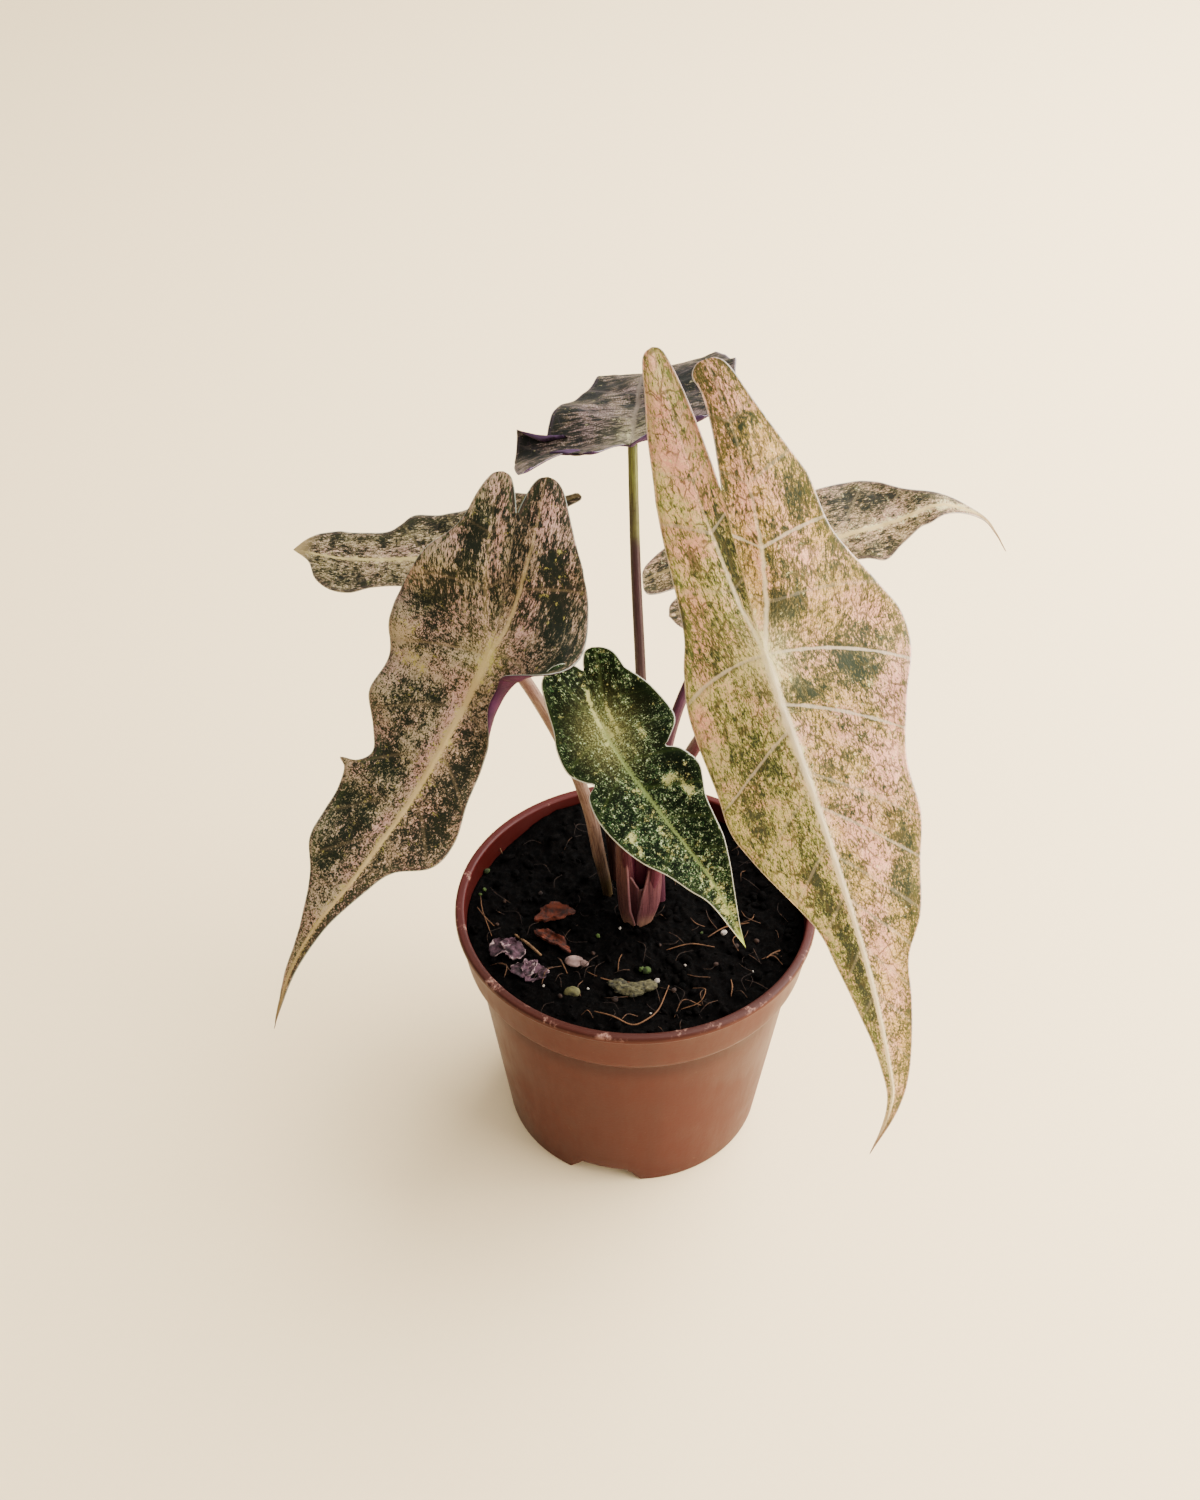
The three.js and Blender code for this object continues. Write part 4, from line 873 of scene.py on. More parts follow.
class Wire:
    """A number, vector or colour inside a material. Sums, differences and products of wires become nodes."""

    def __init__(self, build, socket):
        self.build = build
        self.socket = socket

    def __add__(self, other):
        return self.build.math("ADD", self, other)

    def __sub__(self, other):
        return self.build.math("SUBTRACT", self, other)

    def __mul__(self, other):
        return self.build.math("MULTIPLY", self, other)

    def __abs__(self):
        return self.build.math("ABSOLUTE", self)

    def step(self, low, high, start=0.0, end=1.0):
        """Rises smoothly from start to end as the number goes from low to high."""
        inputs = dict(enumerate((self, low, high, start, end)))
        return self.build.node("ShaderNodeMapRange", inputs, interpolation_type="SMOOTHSTEP")


class Look:
    """Builds one material from nodes, coat upon coat."""

    def __init__(self, name):
        self.material = bpy.data.materials.new(name)
        self.material.use_nodes = True
        self.tree = self.material.node_tree
        self.shader = self.tree.nodes["Principled BSDF"]
        self.colour = None

    def feed(self, value, socket):
        if isinstance(value, Wire):
            self.tree.links.new(value.socket, socket)
        else:
            socket.default_value = value

    def node(self, kind, inputs, output=0, **settings):
        """A new node with its settings and inputs, as the wire that leaves it."""
        node = self.tree.nodes.new(kind)
        for key, value in settings.items():
            setattr(node, key, value)
        for key, value in inputs.items():
            self.feed(value, node.inputs[key])
        return Wire(self, node.outputs[output])

    def split(self, vector):
        node = self.tree.nodes.new("ShaderNodeSeparateXYZ")
        self.feed(vector, node.inputs[0])
        return [Wire(self, output) for output in node.outputs]

    def attribute(self, name):
        """The three numbers that the mesh holds under a name."""
        return self.split(self.node("ShaderNodeAttribute", {}, "Vector", attribute_name=name))

    def own_place(self):
        return self.node("ShaderNodeTexCoord", {}, "Object")

    def join(self, x, y, z):
        return self.node("ShaderNodeCombineXYZ", {0: x, 1: y, 2: z})

    def stretch(self, vector, factors):
        return self.node("ShaderNodeVectorMath", {0: vector, 1: factors}, operation="MULTIPLY")

    def math(self, operation, first, second=0.0):
        return self.node("ShaderNodeMath", {0: first, 1: second}, operation=operation)

    def between(self, factor, first, second):
        """A number between two others: the first at 0 and the second at 1."""
        return self.node("ShaderNodeMix", {0: factor, 2: first, 3: second}, data_type="FLOAT")

    def mix(self, factor, first, second, mode="MIX"):
        """A colour between two others, which are wires or 0 to 255."""
        first, second = [colour if isinstance(colour, Wire) else paint(*colour) for colour in (first, second)]
        inputs = {0: factor, 6: first, 7: second}
        return self.node("ShaderNodeMix", inputs, 2, data_type="RGBA", blend_type=mode)

    def coat(self, factor, colour):
        """Covers what is there by a share with another colour."""
        self.colour = self.mix(factor, self.colour, colour)

    def noise(self, vector, scale, detail=3, roughness=0.55):
        """Noise from 0 to 1 in bumps of 1 / scale. Each detail adds a finer layer, weaker by roughness."""
        inputs = {"Vector": vector, "Scale": scale, "Detail": detail, "Roughness": roughness}
        return self.node("ShaderNodeTexNoise", inputs, "Fac")

    def cell_edges(self, vector, scale):
        """How far it is to the nearest edge between cells."""
        inputs = {"Vector": vector, "Scale": scale}
        return self.node("ShaderNodeTexVoronoi", inputs, "Distance", feature="DISTANCE_TO_EDGE")

    def finish(self, roughness, height, depth, strength, shine):
        """Plugs in colour, roughness, bump and shine."""
        bump = self.node("ShaderNodeBump", {"Strength": strength, "Distance": depth, "Height": height})
        inputs = {"Base Color": self.colour, "Roughness": roughness, "Normal": bump,
                  "Specular IOR Level": shine}
        for key, value in inputs.items():
            self.feed(value, self.shader.inputs[key])
        return self.material


def leaf_specks(build, look, following, along):
    """The specks' pattern in its middle and its fine size, with specks of another shape on the lobes."""
    middles = []
    grains = []
    for wide, long in (look["grain"], look["lobe_grain"]):
        coarse = build.stretch(following, (1 / (wide * COARSER), 1 / (long * COARSER), 1))
        middles.append(build.noise(coarse, 1, 3, 0.65))
        fine = build.stretch(following, (1 / wide, 1 / long, 1))
        grains.append(build.noise(fine, 1, 3, 0.8))
    on_lobe = along.step(-16, -2, 1, 0)
    return build.between(on_lobe, *middles), build.between(on_lobe, *grains)


def leaf_net(build, place, across, along, half):
    """Thin bent lines round small cells, fainter in places."""
    warp = build.noise(place, 0.45, 3, 0.6)
    bent = build.join(across + warp * 2.4, (along + warp * 3) * 0.45, half)
    net = build.cell_edges(bent, 1 / 2.6).step(0.02, 0.075, 1, 0)
    return net * build.noise(place, 1 / 5, 2).step(0.38, 0.54, 0.2, 1)


def coat_margin(build, look, margin, grain, flecks):
    """A broken band of flecks, a thin line and a pale rim."""
    band = margin.step(0.8, 1.6) * margin.step(1.8, 3.4, 1, 0) * grain.step(0.38, 0.56, 0.2, 1)
    build.coat(band * look["band"], flecks)
    line = margin.step(0.35, 0.6) * margin.step(0.8, 1.4, 1, 0)
    build.coat(line * 0.5, look["line"])
    build.coat(margin.step(0.1, 0.4, look["rim"], 0), look["edge"])


def coat_underside(build, look, below, mottle, side):
    """The other colour of the lower face, mottled, with its side veins."""
    lighter = [min(255, value * 1.25) for value in look["under"]]
    under = build.mix(mottle.step(0.35, 0.65), look["under"], lighter)
    under = build.mix(side * 0.4, under, look["line"])
    build.coat(below.step(0.45, 0.55), under)


def leaf_material(name, end):
    """A marbled blade: pink and tan ground, dark specks in clouds, painted shade in the lobes' creases,
    veins, margin and coloured underside.
    """
    look = {**PLAIN_LOOK, **LEAF_LOOKS[name]}
    build = Look(f"leaf_{name}_marbled")
    out, along, half = build.attribute("place")
    number, spacing, strength = build.attribute("side")
    rib, lobe, glow = build.attribute("rib")
    margin, below, across = build.attribute("edge")
    dark_mark, blush_mark, pale_mark = build.attribute("marks")
    place = build.join(out, along, half)
    following = build.join(across, along, half)

    # The field that flecks and dark marks are cut from
    patches = build.noise(place, 1 / look["patch"], 3, 0.6)
    middle, grain = leaf_specks(build, look, following, along)
    on_right = half.step(-1, 1)
    field = build.between(on_right, *look["shift"])
    for layer, share in ((patches, look["cloud"]), (middle, MIDDLE_SHARE), (grain, GRAIN_SHARE)):
        field = (layer - 0.5) * share + field
    field = field + dark_mark * look["mark"] - pale_mark * 0.07 - blush_mark * 0.03
    fewer, pinker, inner = [build.between(on_right, *pair) for pair in zip(*look["lobes"])]
    on_lobes = along.step(-50, -10, 1, 0)
    field = field - on_lobes * fewer
    # fold marks the strip inside each lobe's crease. Painted shade darkens it, with more flecks and less
    # pink.
    fold = across.step(-0.6, 0.15, 1, 0) * along.step(-16, -5, 1, 0) * inner
    field = field + fold * 0.08

    # Ground, flecks, and painted shade in the lobes' creases
    elsewhere = build.join(along, across, half - 20)
    spots = build.noise(build.stretch(elsewhere, (1.6, 1.9, 1)), 1, 3, 0.8)
    wash = build.noise(place, 1 / 12, 5, 0.65) + (spots - 0.5) * 0.7 + blush_mark * 0.2
    wash = wash + half.step(-1, 1, *look["pinker"]) + on_lobes * pinker - fold * 0.15
    build.colour = build.mix(wash.step(0.42, 0.64), build.mix(on_right, *look["ground"]), look["blush"])
    bright = spots - middle * 0.3
    build.coat(bright.step(0.36, 0.44, 0, 0.75), look["pale"])
    flecks = build.mix(on_right, *look["fleck"])
    build.coat(field.step(look["fleck_from"] - 0.025, look["fleck_from"] + 0.025, 0, 0.88), flecks)
    build.coat(field.step(look["dark_from"] - 0.025, look["dark_from"] + 0.03, 0, 0.95), look["dark"])
    ragged = grain + build.noise(place, 0.5, 4, 0.7) * 2
    cream = pale_mark + (ragged - 1.5) * 1.8
    build.coat(cream.step(0.5, 0.85, 0, 0.8), look["cream"])
    # Painted shade: the strip inside each lobe's crease is darkened.
    build.coat(fold, build.mix(1.0, build.colour, (176, 156, 132), "MULTIPLY"))

    # Net, side veins and their shadows
    net = leaf_net(build, place, across, along, half)
    shaded = build.mix(0.75, build.colour, look["line"])
    build.coat(net * look["net"], shaded)
    wobble = (build.noise(place, 0.35, 2) - 0.5) * 0.9
    off = abs(number - build.math("ROUND", number))
    off = abs(off * spacing + wobble)
    side = off.step(0.2, 0.65, 1, 0) * strength
    shadow = off.step(0.5, 1.6, 1, 0) * strength
    build.coat(shadow * 0.35, shaded)
    build.coat(side * look["side_veins"], look["side"])

    # Lobe veins, midrib and the glow at the joint
    lobe_off = abs(lobe + wobble)
    fades = along.step(*LOBE_VEIN_FADES)
    lobe_line = lobe_off.step(0.15, fades * 0.5 + 0.45, 1, 0)
    build.coat(lobe_line * fades * half.step(-1, 1, *look["lobe_vein"]), look["vein"])
    soft = rib.step(0.6, 2.6, 1, 0) * field.step(0.42, 0.56, 0.8, 0.05)
    build.coat(soft * 0.25, look["vein"])
    rough = rib + (grain - 0.5) * look["ragged"]
    build.coat(rough.step(0.4, 0.95, 0.95, 0), look["vein"])
    build.coat(glow * look["glow"] * grain.step(0.4, 0.54, 1, 0.2), look["cream"])

    # Margin, tip and underside
    coat_margin(build, look, margin, grain, flecks)
    build.coat(along.step(end - look["tip_length"], end - 2, 0, 0.9), look["tip"])
    mottle = build.noise(place, 0.25, 4, 0.65)
    coat_underside(build, look, below, mottle, side)
    height = field * 0.8 + net * -0.25 - side * 0.4
    return build.finish(mottle.step(0.3, 0.7, 0.45, 0.58), height, depth=0.0004, strength=0.4,
                        shine=look["shine"])


def pot_material():
    """Dull red-brown plastic with faint flow marks and dust. Painted shade darkens the inner wall and the
    lip, whose pale spots are wear and painted glints.
    """
    build = Look("pot_plastic")
    place = build.own_place()
    x, y, z = build.split(place)
    cloud = build.noise(place, 26, 4, 0.6)
    grain = build.noise(place, 900, 2)
    flow = build.noise(build.stretch(place, (40, 40, 6)), 1, 3, 0.6)
    build.colour = build.mix(cloud.step(0.3, 0.7), (68, 26, 19), (74, 30, 22))
    build.coat(flow.step(0.5, 0.75, 0, 0.35), (60, 26, 19))
    # Painted shade: the upper inner wall is darker and redder. The wall leans outwards above the soil, and so
    # does the limit of this painted shade.
    depth = build.math("SQRT", x * x + y * y) - (z - 0.074) * 0.13
    inside = depth.step(0.0559, 0.0564, 1, 0) * z.step(0.06, 0.07)
    build.coat(inside * 0.85, (50, 9, 7))
    # Painted shade on the lip: darker than the body, browner in front and redder behind, as light falls on
    # it.
    lip = z.step(0.0895, 0.0908)
    wear_and_glints = lip * build.noise(place, 140, 5, 0.75).step(0.56, 0.68)
    build.coat(lip * 0.85, build.mix(y.step(-0.04, 0.01), (52, 19, 9), (66, 13, 8)))
    # Pale spots on the lip: partly wear and partly painted glints.
    build.coat(wear_and_glints * 0.6, (168, 124, 108))
    dust = build.noise(place, 420, 3, 0.8).step(0.66, 0.74)
    build.coat(dust * 0.12, (150, 118, 100))
    scuff = build.noise(build.stretch(place, (260, 260, 30)), 1, 4, 0.7)
    roughness = (cloud + scuff * 0.4).step(0.5, 0.9, 0.36, 0.5) + wear_and_glints * 0.25
    height = grain * 0.4 + flow * 0.8
    return build.finish(roughness, height, depth=0.0002, strength=0.35, shine=0.15)


def peat_material():
    """Nearly black, damp crumbs with thin brown fibres."""
    build = Look("damp_peat")
    place = build.own_place()
    crumbs = build.noise(place, 420, 6, 0.75)
    clods = build.noise(place, 90)
    build.colour = build.mix(crumbs.step(0.35, 0.7), (1, 1, 1), (7, 5, 4))
    build.coat(clods.step(0.45, 0.7, 0, 0.6), (3, 2, 2))
    build.coat(build.cell_edges(place, 260).step(0, 0.03, 0.25, 0), (17, 11, 7))
    damp = build.noise(place, 700, 2)
    return build.finish(damp.step(0.4, 0.75, 0.95, 0.6), crumbs, depth=0.0012, strength=0.9, shine=0.03)


# Dry matter: its light and dark colour, its grain per metre, its relief in metres and its pale rim
MATTER = {
    "bark_chips": {"light": (92, 37, 16), "dark": (30, 11, 6), "scale": 420, "depth": 0.0008},
    "pale_straw": {"light": (120, 90, 60), "dark": (48, 31, 19), "scale": 500, "depth": 0.0003},
    "dead_leaf": {"light": (88, 60, 70), "dark": (22, 12, 14), "scale": 420, "depth": 0.0006,
                  "rim": (168, 140, 138)},
    "grey_mineral": {"light": (150, 124, 116), "dark": (82, 62, 56), "scale": 300, "depth": 0.0004},
    "yellow_pebble": {"light": (92, 88, 50), "dark": (34, 30, 16), "scale": 420, "depth": 0.0004},
    "dull_moss": {"light": (84, 78, 50), "dark": (7, 6, 4), "scale": 620, "depth": 0.0012},
    "brown_fibre": {"light": (98, 66, 40), "dark": (30, 19, 12), "scale": 500, "depth": 0.0002},
    "white_perlite": {"light": (180, 172, 160), "dark": (120, 108, 98), "scale": 700, "depth": 0.0004},
    "green_bits": {"light": (62, 80, 26), "dark": (24, 34, 10), "scale": 500, "depth": 0.0004},
    "brown_bits": {"light": (52, 32, 20), "dark": (18, 11, 8), "scale": 500, "depth": 0.0004},
}


def rough_material(name, light, dark, scale, depth, rim=None):
    """Dry, uneven matter in two colours. The mesh's own values shift it and mark its pale rim."""
    build = Look(name)
    place = build.own_place()
    shade, edge, _ = build.attribute("own")
    grain = build.noise(place, scale, 5, 0.7)
    build.colour = build.mix((grain + shade * 0.25).step(0.35, 0.7), dark, light)
    fine = build.noise(place, scale * 4, 3, 0.7)
    build.coat(fine.step(0.5, 0.7, 0, 0.4), [value * 0.55 for value in dark])
    if rim:
        ragged = build.noise(place, 260, 4, 0.7) * 1.6
        ragged = ragged + build.noise(place, 130, 2).step(0.35, 0.6, -0.6, 0.12)
        build.coat((edge + ragged).step(1.45, 1.8, 0, 0.75), rim)
    return build.finish(fine.step(0.3, 0.7, 0.73, 0.93), grain, depth, strength=0.8, shine=0.25)


def stalk_material(name, low, middle, high, bends):
    """A fleshy stalk with fine lengthwise stripes, whose colour changes from the soil to the blade."""
    build = Look(name)
    along, turn, _ = build.attribute("own")
    place = build.own_place()
    at = along + (build.noise(place, 60) - 0.5) * 0.3
    build.colour = build.mix(at.step(*bends[0]), low, middle)
    build.coat(at.step(*bends[1]), high)
    angle = turn * math.tau
    spun = build.join(build.math("SINE", angle), build.math("COSINE", angle), along * 3)
    stripes = build.noise(spun, 5, 4, 0.7)
    flecks = build.noise(place, 900, 3, 0.7)
    darker = build.mix(1.0, build.colour, (150, 120, 122), "MULTIPLY")
    build.coat(stripes.step(0.45, 0.62, 0, 0.8), darker)
    build.coat(flecks.step(0.56, 0.7, 0, 0.5), darker)
    pale = build.mix(0.3, build.colour, (170, 140, 124))
    build.coat(stripes.step(0.42, 0.3, 0, 0.6), pale)
    roughness = flecks.step(0.3, 0.7, 0.4, 0.55)
    return build.finish(roughness, stripes, depth=0.0003, strength=0.5, shine=0.25)


def sheath_material():
    """Mauve leaf bases with fine stripes, pale along their edges and at the foot, and painted dark maroon
    inside as shade.
    """
    build = Look("crown_sheath")
    inside, rim, turn = build.attribute("own")
    place = build.own_place()
    x, _, z = build.split(place)
    spun = build.join(turn * 5, z * 30, inside)
    stripes = build.noise(spun, 2.2, 4, 0.7)
    build.colour = build.mix(stripes.step(0.36, 0.64), (62, 30, 33), (92, 52, 52))
    build.coat(x.step(-0.004, 0.001, 0.6, 0) * stripes.step(0.4, 0.6, 0.5, 1), (98, 68, 54))
    build.coat(z.step(0.084, 0.09, 0.7, 0), (118, 86, 66))
    # Painted shade: faces inside the crown and its cores are darkened to maroon.
    build.coat(inside.step(0.2, 0.4, 0, 0.7), (56, 24, 30))
    build.coat(inside.step(0.7, 0.9, 0, 0.94), (58, 8, 28))
    build.coat(rim.step(0.2, 0.8, 0, 0.7), (126, 84, 82))
    flecks = build.noise(place, 1100, 3, 0.7)
    darker = build.mix(1.0, build.colour, (170, 140, 140), "MULTIPLY")
    build.coat(flecks.step(0.55, 0.7, 0, 0.6), darker)
    roughness = flecks.step(0.3, 0.7, 0.42, 0.56)
    return build.finish(roughness, stripes, depth=0.0003, strength=0.5, shine=0.25)


def floor_material():
    build = Look("pale_floor")
    grain = build.noise(build.own_place(), 380, 2)
    build.colour = build.mix(grain.step(0.3, 0.7), FLOOR_COLOUR, [value + 1 for value in FLOOR_COLOUR])
    return build.finish(0.95, grain, depth=0.0001, strength=0.1, shine=0.1)


# Pot

def body_radius(z):
    """The pot's outer radius at a height on its tapered body."""
    return FOOT_RADIUS + (BODY_TOP_RADIUS - FOOT_RADIUS) * z / COLLAR_BOTTOM


def collar_inside(z):
    """The inner wall's radius at a height beside the collar."""
    part = (z - COLLAR_BOTTOM) / (POT_HEIGHT - COLLAR_BOTTOM)
    return COLLAR_RADIUS - WALL + (RIM_RADIUS - LIP_WIDTH - COLLAR_RADIUS + WALL) * part


def pot_profile():
    """The outline turned round the axis, as [radius, height, corner rounding] points."""
    foot_inside = FOOT_RADIUS - FOOT_WIDTH
    ledge = COLLAR_BOTTOM - COLLAR_LEDGE
    lip_bottom = POT_HEIGHT - LIP_DEPTH
    inner_bend = ledge - WALL
    return [
        [0.5, 0, 0], [PAD_RADIUS, 0, 0.5], [PAD_RADIUS + 2, FLOOR_LIFT, 0.5],
        [foot_inside - 1, FLOOR_LIFT, 0.4], [foot_inside, 0, 0.3], [FOOT_RADIUS, 0, 0.5],
        [body_radius(ledge), ledge, 2.2],
        [COLLAR_RADIUS, COLLAR_BOTTOM, 1.7], [COLLAR_TOP_RADIUS, lip_bottom, 0.4],
        [RIM_RADIUS, lip_bottom + 0.7, 0.5], [RIM_RADIUS - 0.2, POT_HEIGHT, 1],
        [RIM_RADIUS - LIP_WIDTH, POT_HEIGHT, 0.8], [collar_inside(COLLAR_BOTTOM), COLLAR_BOTTOM, 0.5],
        [body_radius(inner_bend) - WALL, inner_bend, 0.8], [body_radius(FLOOR_TOP) - WALL, FLOOR_TOP, 1],
        [PAD_RADIUS + 1, FLOOR_TOP, 0.5], [PAD_RADIUS - 1, FLOOR_THICKNESS, 0.5], [0.5, FLOOR_THICKNESS, 0],
    ]


def rounded(profile):
    """The profile with its corners rounded and its long runs divided."""
    points = [np.array(profile[0][:2], float)]
    for before, corner, after in zip(profile, profile[1:], profile[2:]):
        here = np.array(corner[:2], float)
        back = np.array(before[:2]) - here
        ahead = np.array(after[:2]) - here
        reach = min(corner[2], 0.45 * np.linalg.norm(back), 0.45 * np.linalg.norm(ahead))
        start = here + back / np.linalg.norm(back) * reach
        end = here + ahead / np.linalg.norm(ahead) * reach
        for part in np.linspace(0, 1, CORNER_STEPS):
            points.append((1 - part) ** 2 * start + 2 * part * (1 - part) * here + part**2 * end)
    points.append(np.array(profile[-1][:2], float))
    divided = [points[0]]
    for point in points[1:]:
        pieces = max(1, int(np.ceil(np.linalg.norm(point - divided[-1]) / LONGEST_RUN)))
        start = divided[-1]
        divided += [start + (point - start) * k / pieces for k in range(1, pieces + 1)]
    return np.array(divided)


def degrees_off(first, second):
    """The angle between two directions in degrees."""
    return abs((first - second + 180) % 360 - 180)


def notch_halves():
    """Half the width of a notch in degrees, at its foot and at its top."""
    return [math.degrees(math.asin(width / 2 / FOOT_RADIUS)) for width in (NOTCH_FOOT_WIDTH, NOTCH_TOP_WIDTH)]


def pot_directions():
    """Directions round the pot, with a pair of columns at each side of each notch."""
    spaced = list(np.arange(POT_SIDES) * 360 / POT_SIDES)
    notch = []
    for middle in NOTCH_DIRECTIONS:
        for half in notch_halves():
            notch += [(middle - half) % 360, (middle + half) % 360]
    clear = [way for way in spaced if min(degrees_off(way, taken) for taken in notch) > NOTCH_CLEAR]
    return sorted(clear + notch)


def notch_height(direction):
    """How high the nearest notch reaches at a direction, with its sloping sides."""
    off = min(degrees_off(direction, middle) for middle in NOTCH_DIRECTIONS)
    foot, top = notch_halves()
    return NOTCH_HEIGHT * min(1, max(0, (foot - off) / (foot - top)))


def apply_modifiers(piece):
    """Replaces the piece's mesh with what its modifiers make of it."""
    shown = piece.evaluated_get(bpy.context.evaluated_depsgraph_get())
    mesh = bpy.data.meshes.new_from_object(shown)
    piece.modifiers.clear()
    piece.data = mesh


def drill_drain_holes(pot):
    """Cuts the drain holes out of the floor, in a ring."""
    drills = Parts()
    for k in range(DRAIN_HOLES):
        angle = math.tau * (k + 0.5) / DRAIN_HOLES
        x, y = DRAIN_HOLE_CIRCLE * math.cos(angle), DRAIN_HOLE_CIRCLE * math.sin(angle)
        points, faces, _ = tube([[x, y, z, DRAIN_HOLE_RADIUS] for z in DRILL_HEIGHTS], sides=32, steps=2)
        drills.add(points, faces)
    cutter = add_object("drills", make_mesh("drills", np.concatenate(drills.points), drills.faces))
    cut = pot.modifiers.new("drain_holes", "BOOLEAN")
    cut.object = cutter
    cut.operation = "DIFFERENCE"
    cut.solver = "EXACT"
    apply_modifiers(pot)
    bpy.data.objects.remove(cutter)


def make_pot(material):
    profile = rounded(pot_profile())
    directions = pot_directions()
    rings = []
    for radius, z in profile:
        on_foot = radius > FOOT_RADIUS - FOOT_WIDTH * 2 and z < NOTCH_HEIGHT
        for direction in directions:
            angle = math.radians(direction)
            height = max(z, notch_height(direction)) if on_foot else z
            rings.append([radius * math.cos(angle), radius * math.sin(angle), height])
    faces = capped_grid(len(profile), len(directions))
    pot = make_piece("pot_plastic", rings, faces, material, ["pot"])
    drill_drain_holes(pot)
    pot.data.set_sharp_from_angle(angle=math.radians(SHARP_ANGLE))


# Soil

def soil_height(points):
    """The soil's surface as on the solid, without its crumbs."""
    x, y = points.T
    turn_x = 2 * np.pi * x / SOIL_SWELL["across"] + SOIL_SWELL["start_x"]
    turn_y = 2 * np.pi * y / SOIL_SWELL["deep"] + SOIL_SWELL["start_y"]
    swell = SOIL_SWELL["height"] * np.sin(turn_x) * np.cos(turn_y)
    heap_x = (x - SOIL_HEAP["x"]) / SOIL_HEAP["reach"]
    heap_y = (y - SOIL_HEAP["y"]) / SOIL_HEAP["reach"]
    return SOIL_LEVEL + swell + SOIL_HEAP["height"] * np.exp(-(heap_x**2) - heap_y**2)


def crumbly_height(points):
    """The surface with clods and crumbs, calmer at the pot's wall."""
    clods = CLOD_HEIGHT * layered_noise(points, **SOIL_CLODS)
    crumbs = CRUMB_HEIGHT * np.maximum(layered_noise(points, **SOIL_CRUMBS), DEEPEST_CRUMB)
    calm = 1 - 0.5 * smooth_step(*CALM_WALL, np.linalg.norm(points, axis=1))
    return soil_height(points) + calm * (clods + crumbs)


def ground_at(x, y):
    """The crumbly surface's height at one place."""
    return float(crumbly_height(np.array([[x, y]], float))[0])


def make_soil(material):
    top_radius = collar_inside(SOIL_LEVEL) - 0.1
    turns = np.arange(SOIL_SIDES) * 2 * np.pi / SOIL_SIDES
    ring = np.stack([np.cos(turns), np.sin(turns)], axis=1)
    wall_bend = COLLAR_BOTTOM - COLLAR_LEDGE - WALL
    bottom = FLOOR_TOP + SOIL_GAP
    side = [[PAD_RADIUS + 1, bottom], [body_radius(FLOOR_TOP) - WALL - SOIL_GAP, bottom],
            [body_radius(wall_bend) - WALL - SOIL_GAP, wall_bend],
            [collar_inside(COLLAR_BOTTOM) - SOIL_GAP, COLLAR_BOTTOM]]
    points = [np.concatenate([ring * radius, np.full((SOIL_SIDES, 1), z)], axis=1) for radius, z in side]
    for i in range(SOIL_RINGS):
        flat = ring * top_radius * (1 - i / SOIL_RINGS) ** 0.9
        points.append(np.concatenate([flat, crumbly_height(flat)[:, None]], axis=1))
    faces = capped_grid(len(points), SOIL_SIDES)
    make_piece("soil_peat", np.concatenate(points), faces, material, ["soil"])


# Loose matter on the soil

def lump(at, size, turn, seed, roughness=0.3, sides=16, rings=10):
    """An uneven, flattened lump. size is its length, width and thickness, and turn is about Z in degrees."""
    turns = np.arange(sides) * 2 * np.pi / sides
    points = [[0, 0, -1]]
    for tilt in np.linspace(0, np.pi, rings + 1)[1:-1]:
        out = math.sin(tilt)
        points += [[out * math.cos(way), out * math.sin(way), -math.cos(tilt)] for way in turns]
    points = np.array([*points, [0, 0, 1]])
    bumps = 1 + roughness * layered_noise(points + seed, 0.7, seed, 2)
    points = turned(points * bumps[:, None] * (np.array(size) / 2), turn) + np.array(at)
    top = len(points) - 1
    faces = fan(0, 1, sides, below=True) + grid_faces(rings - 1, sides, closed=True, first=1)
    return points, faces + fan(top, top - sides, sides)


def scattered(count, seed, reach):
    """Places spread over the soil, with three more numbers each, the same on every run."""
    random = np.random.default_rng(seed)
    radius = reach * np.sqrt(random.random(count))
    turn = random.random(count) * 2 * np.pi
    return np.stack([radius * np.cos(turn), radius * np.sin(turn)], axis=1), random.random((count, 3))


def make_crumbs(material):
    """Loose crumbs of peat, pressed into the surface."""
    crumbs = Parts()
    places, numbers = scattered(**CRUMBS)
    for k, ((x, y), (bulk, stretch, spin)) in enumerate(zip(places, numbers)):
        size = 0.9 + 2.2 * bulk**2
        at = [x, y, ground_at(x, y) + size * 0.12]
        points, faces = lump(at, [size * (1 + stretch), size, size * 0.8], 360 * spin, k,
                             roughness=0.35, sides=8, rings=6)
        crumbs.add(points, faces, (stretch, spin, 0))
    crumbs.piece("peat_crumbs", material, "soil")


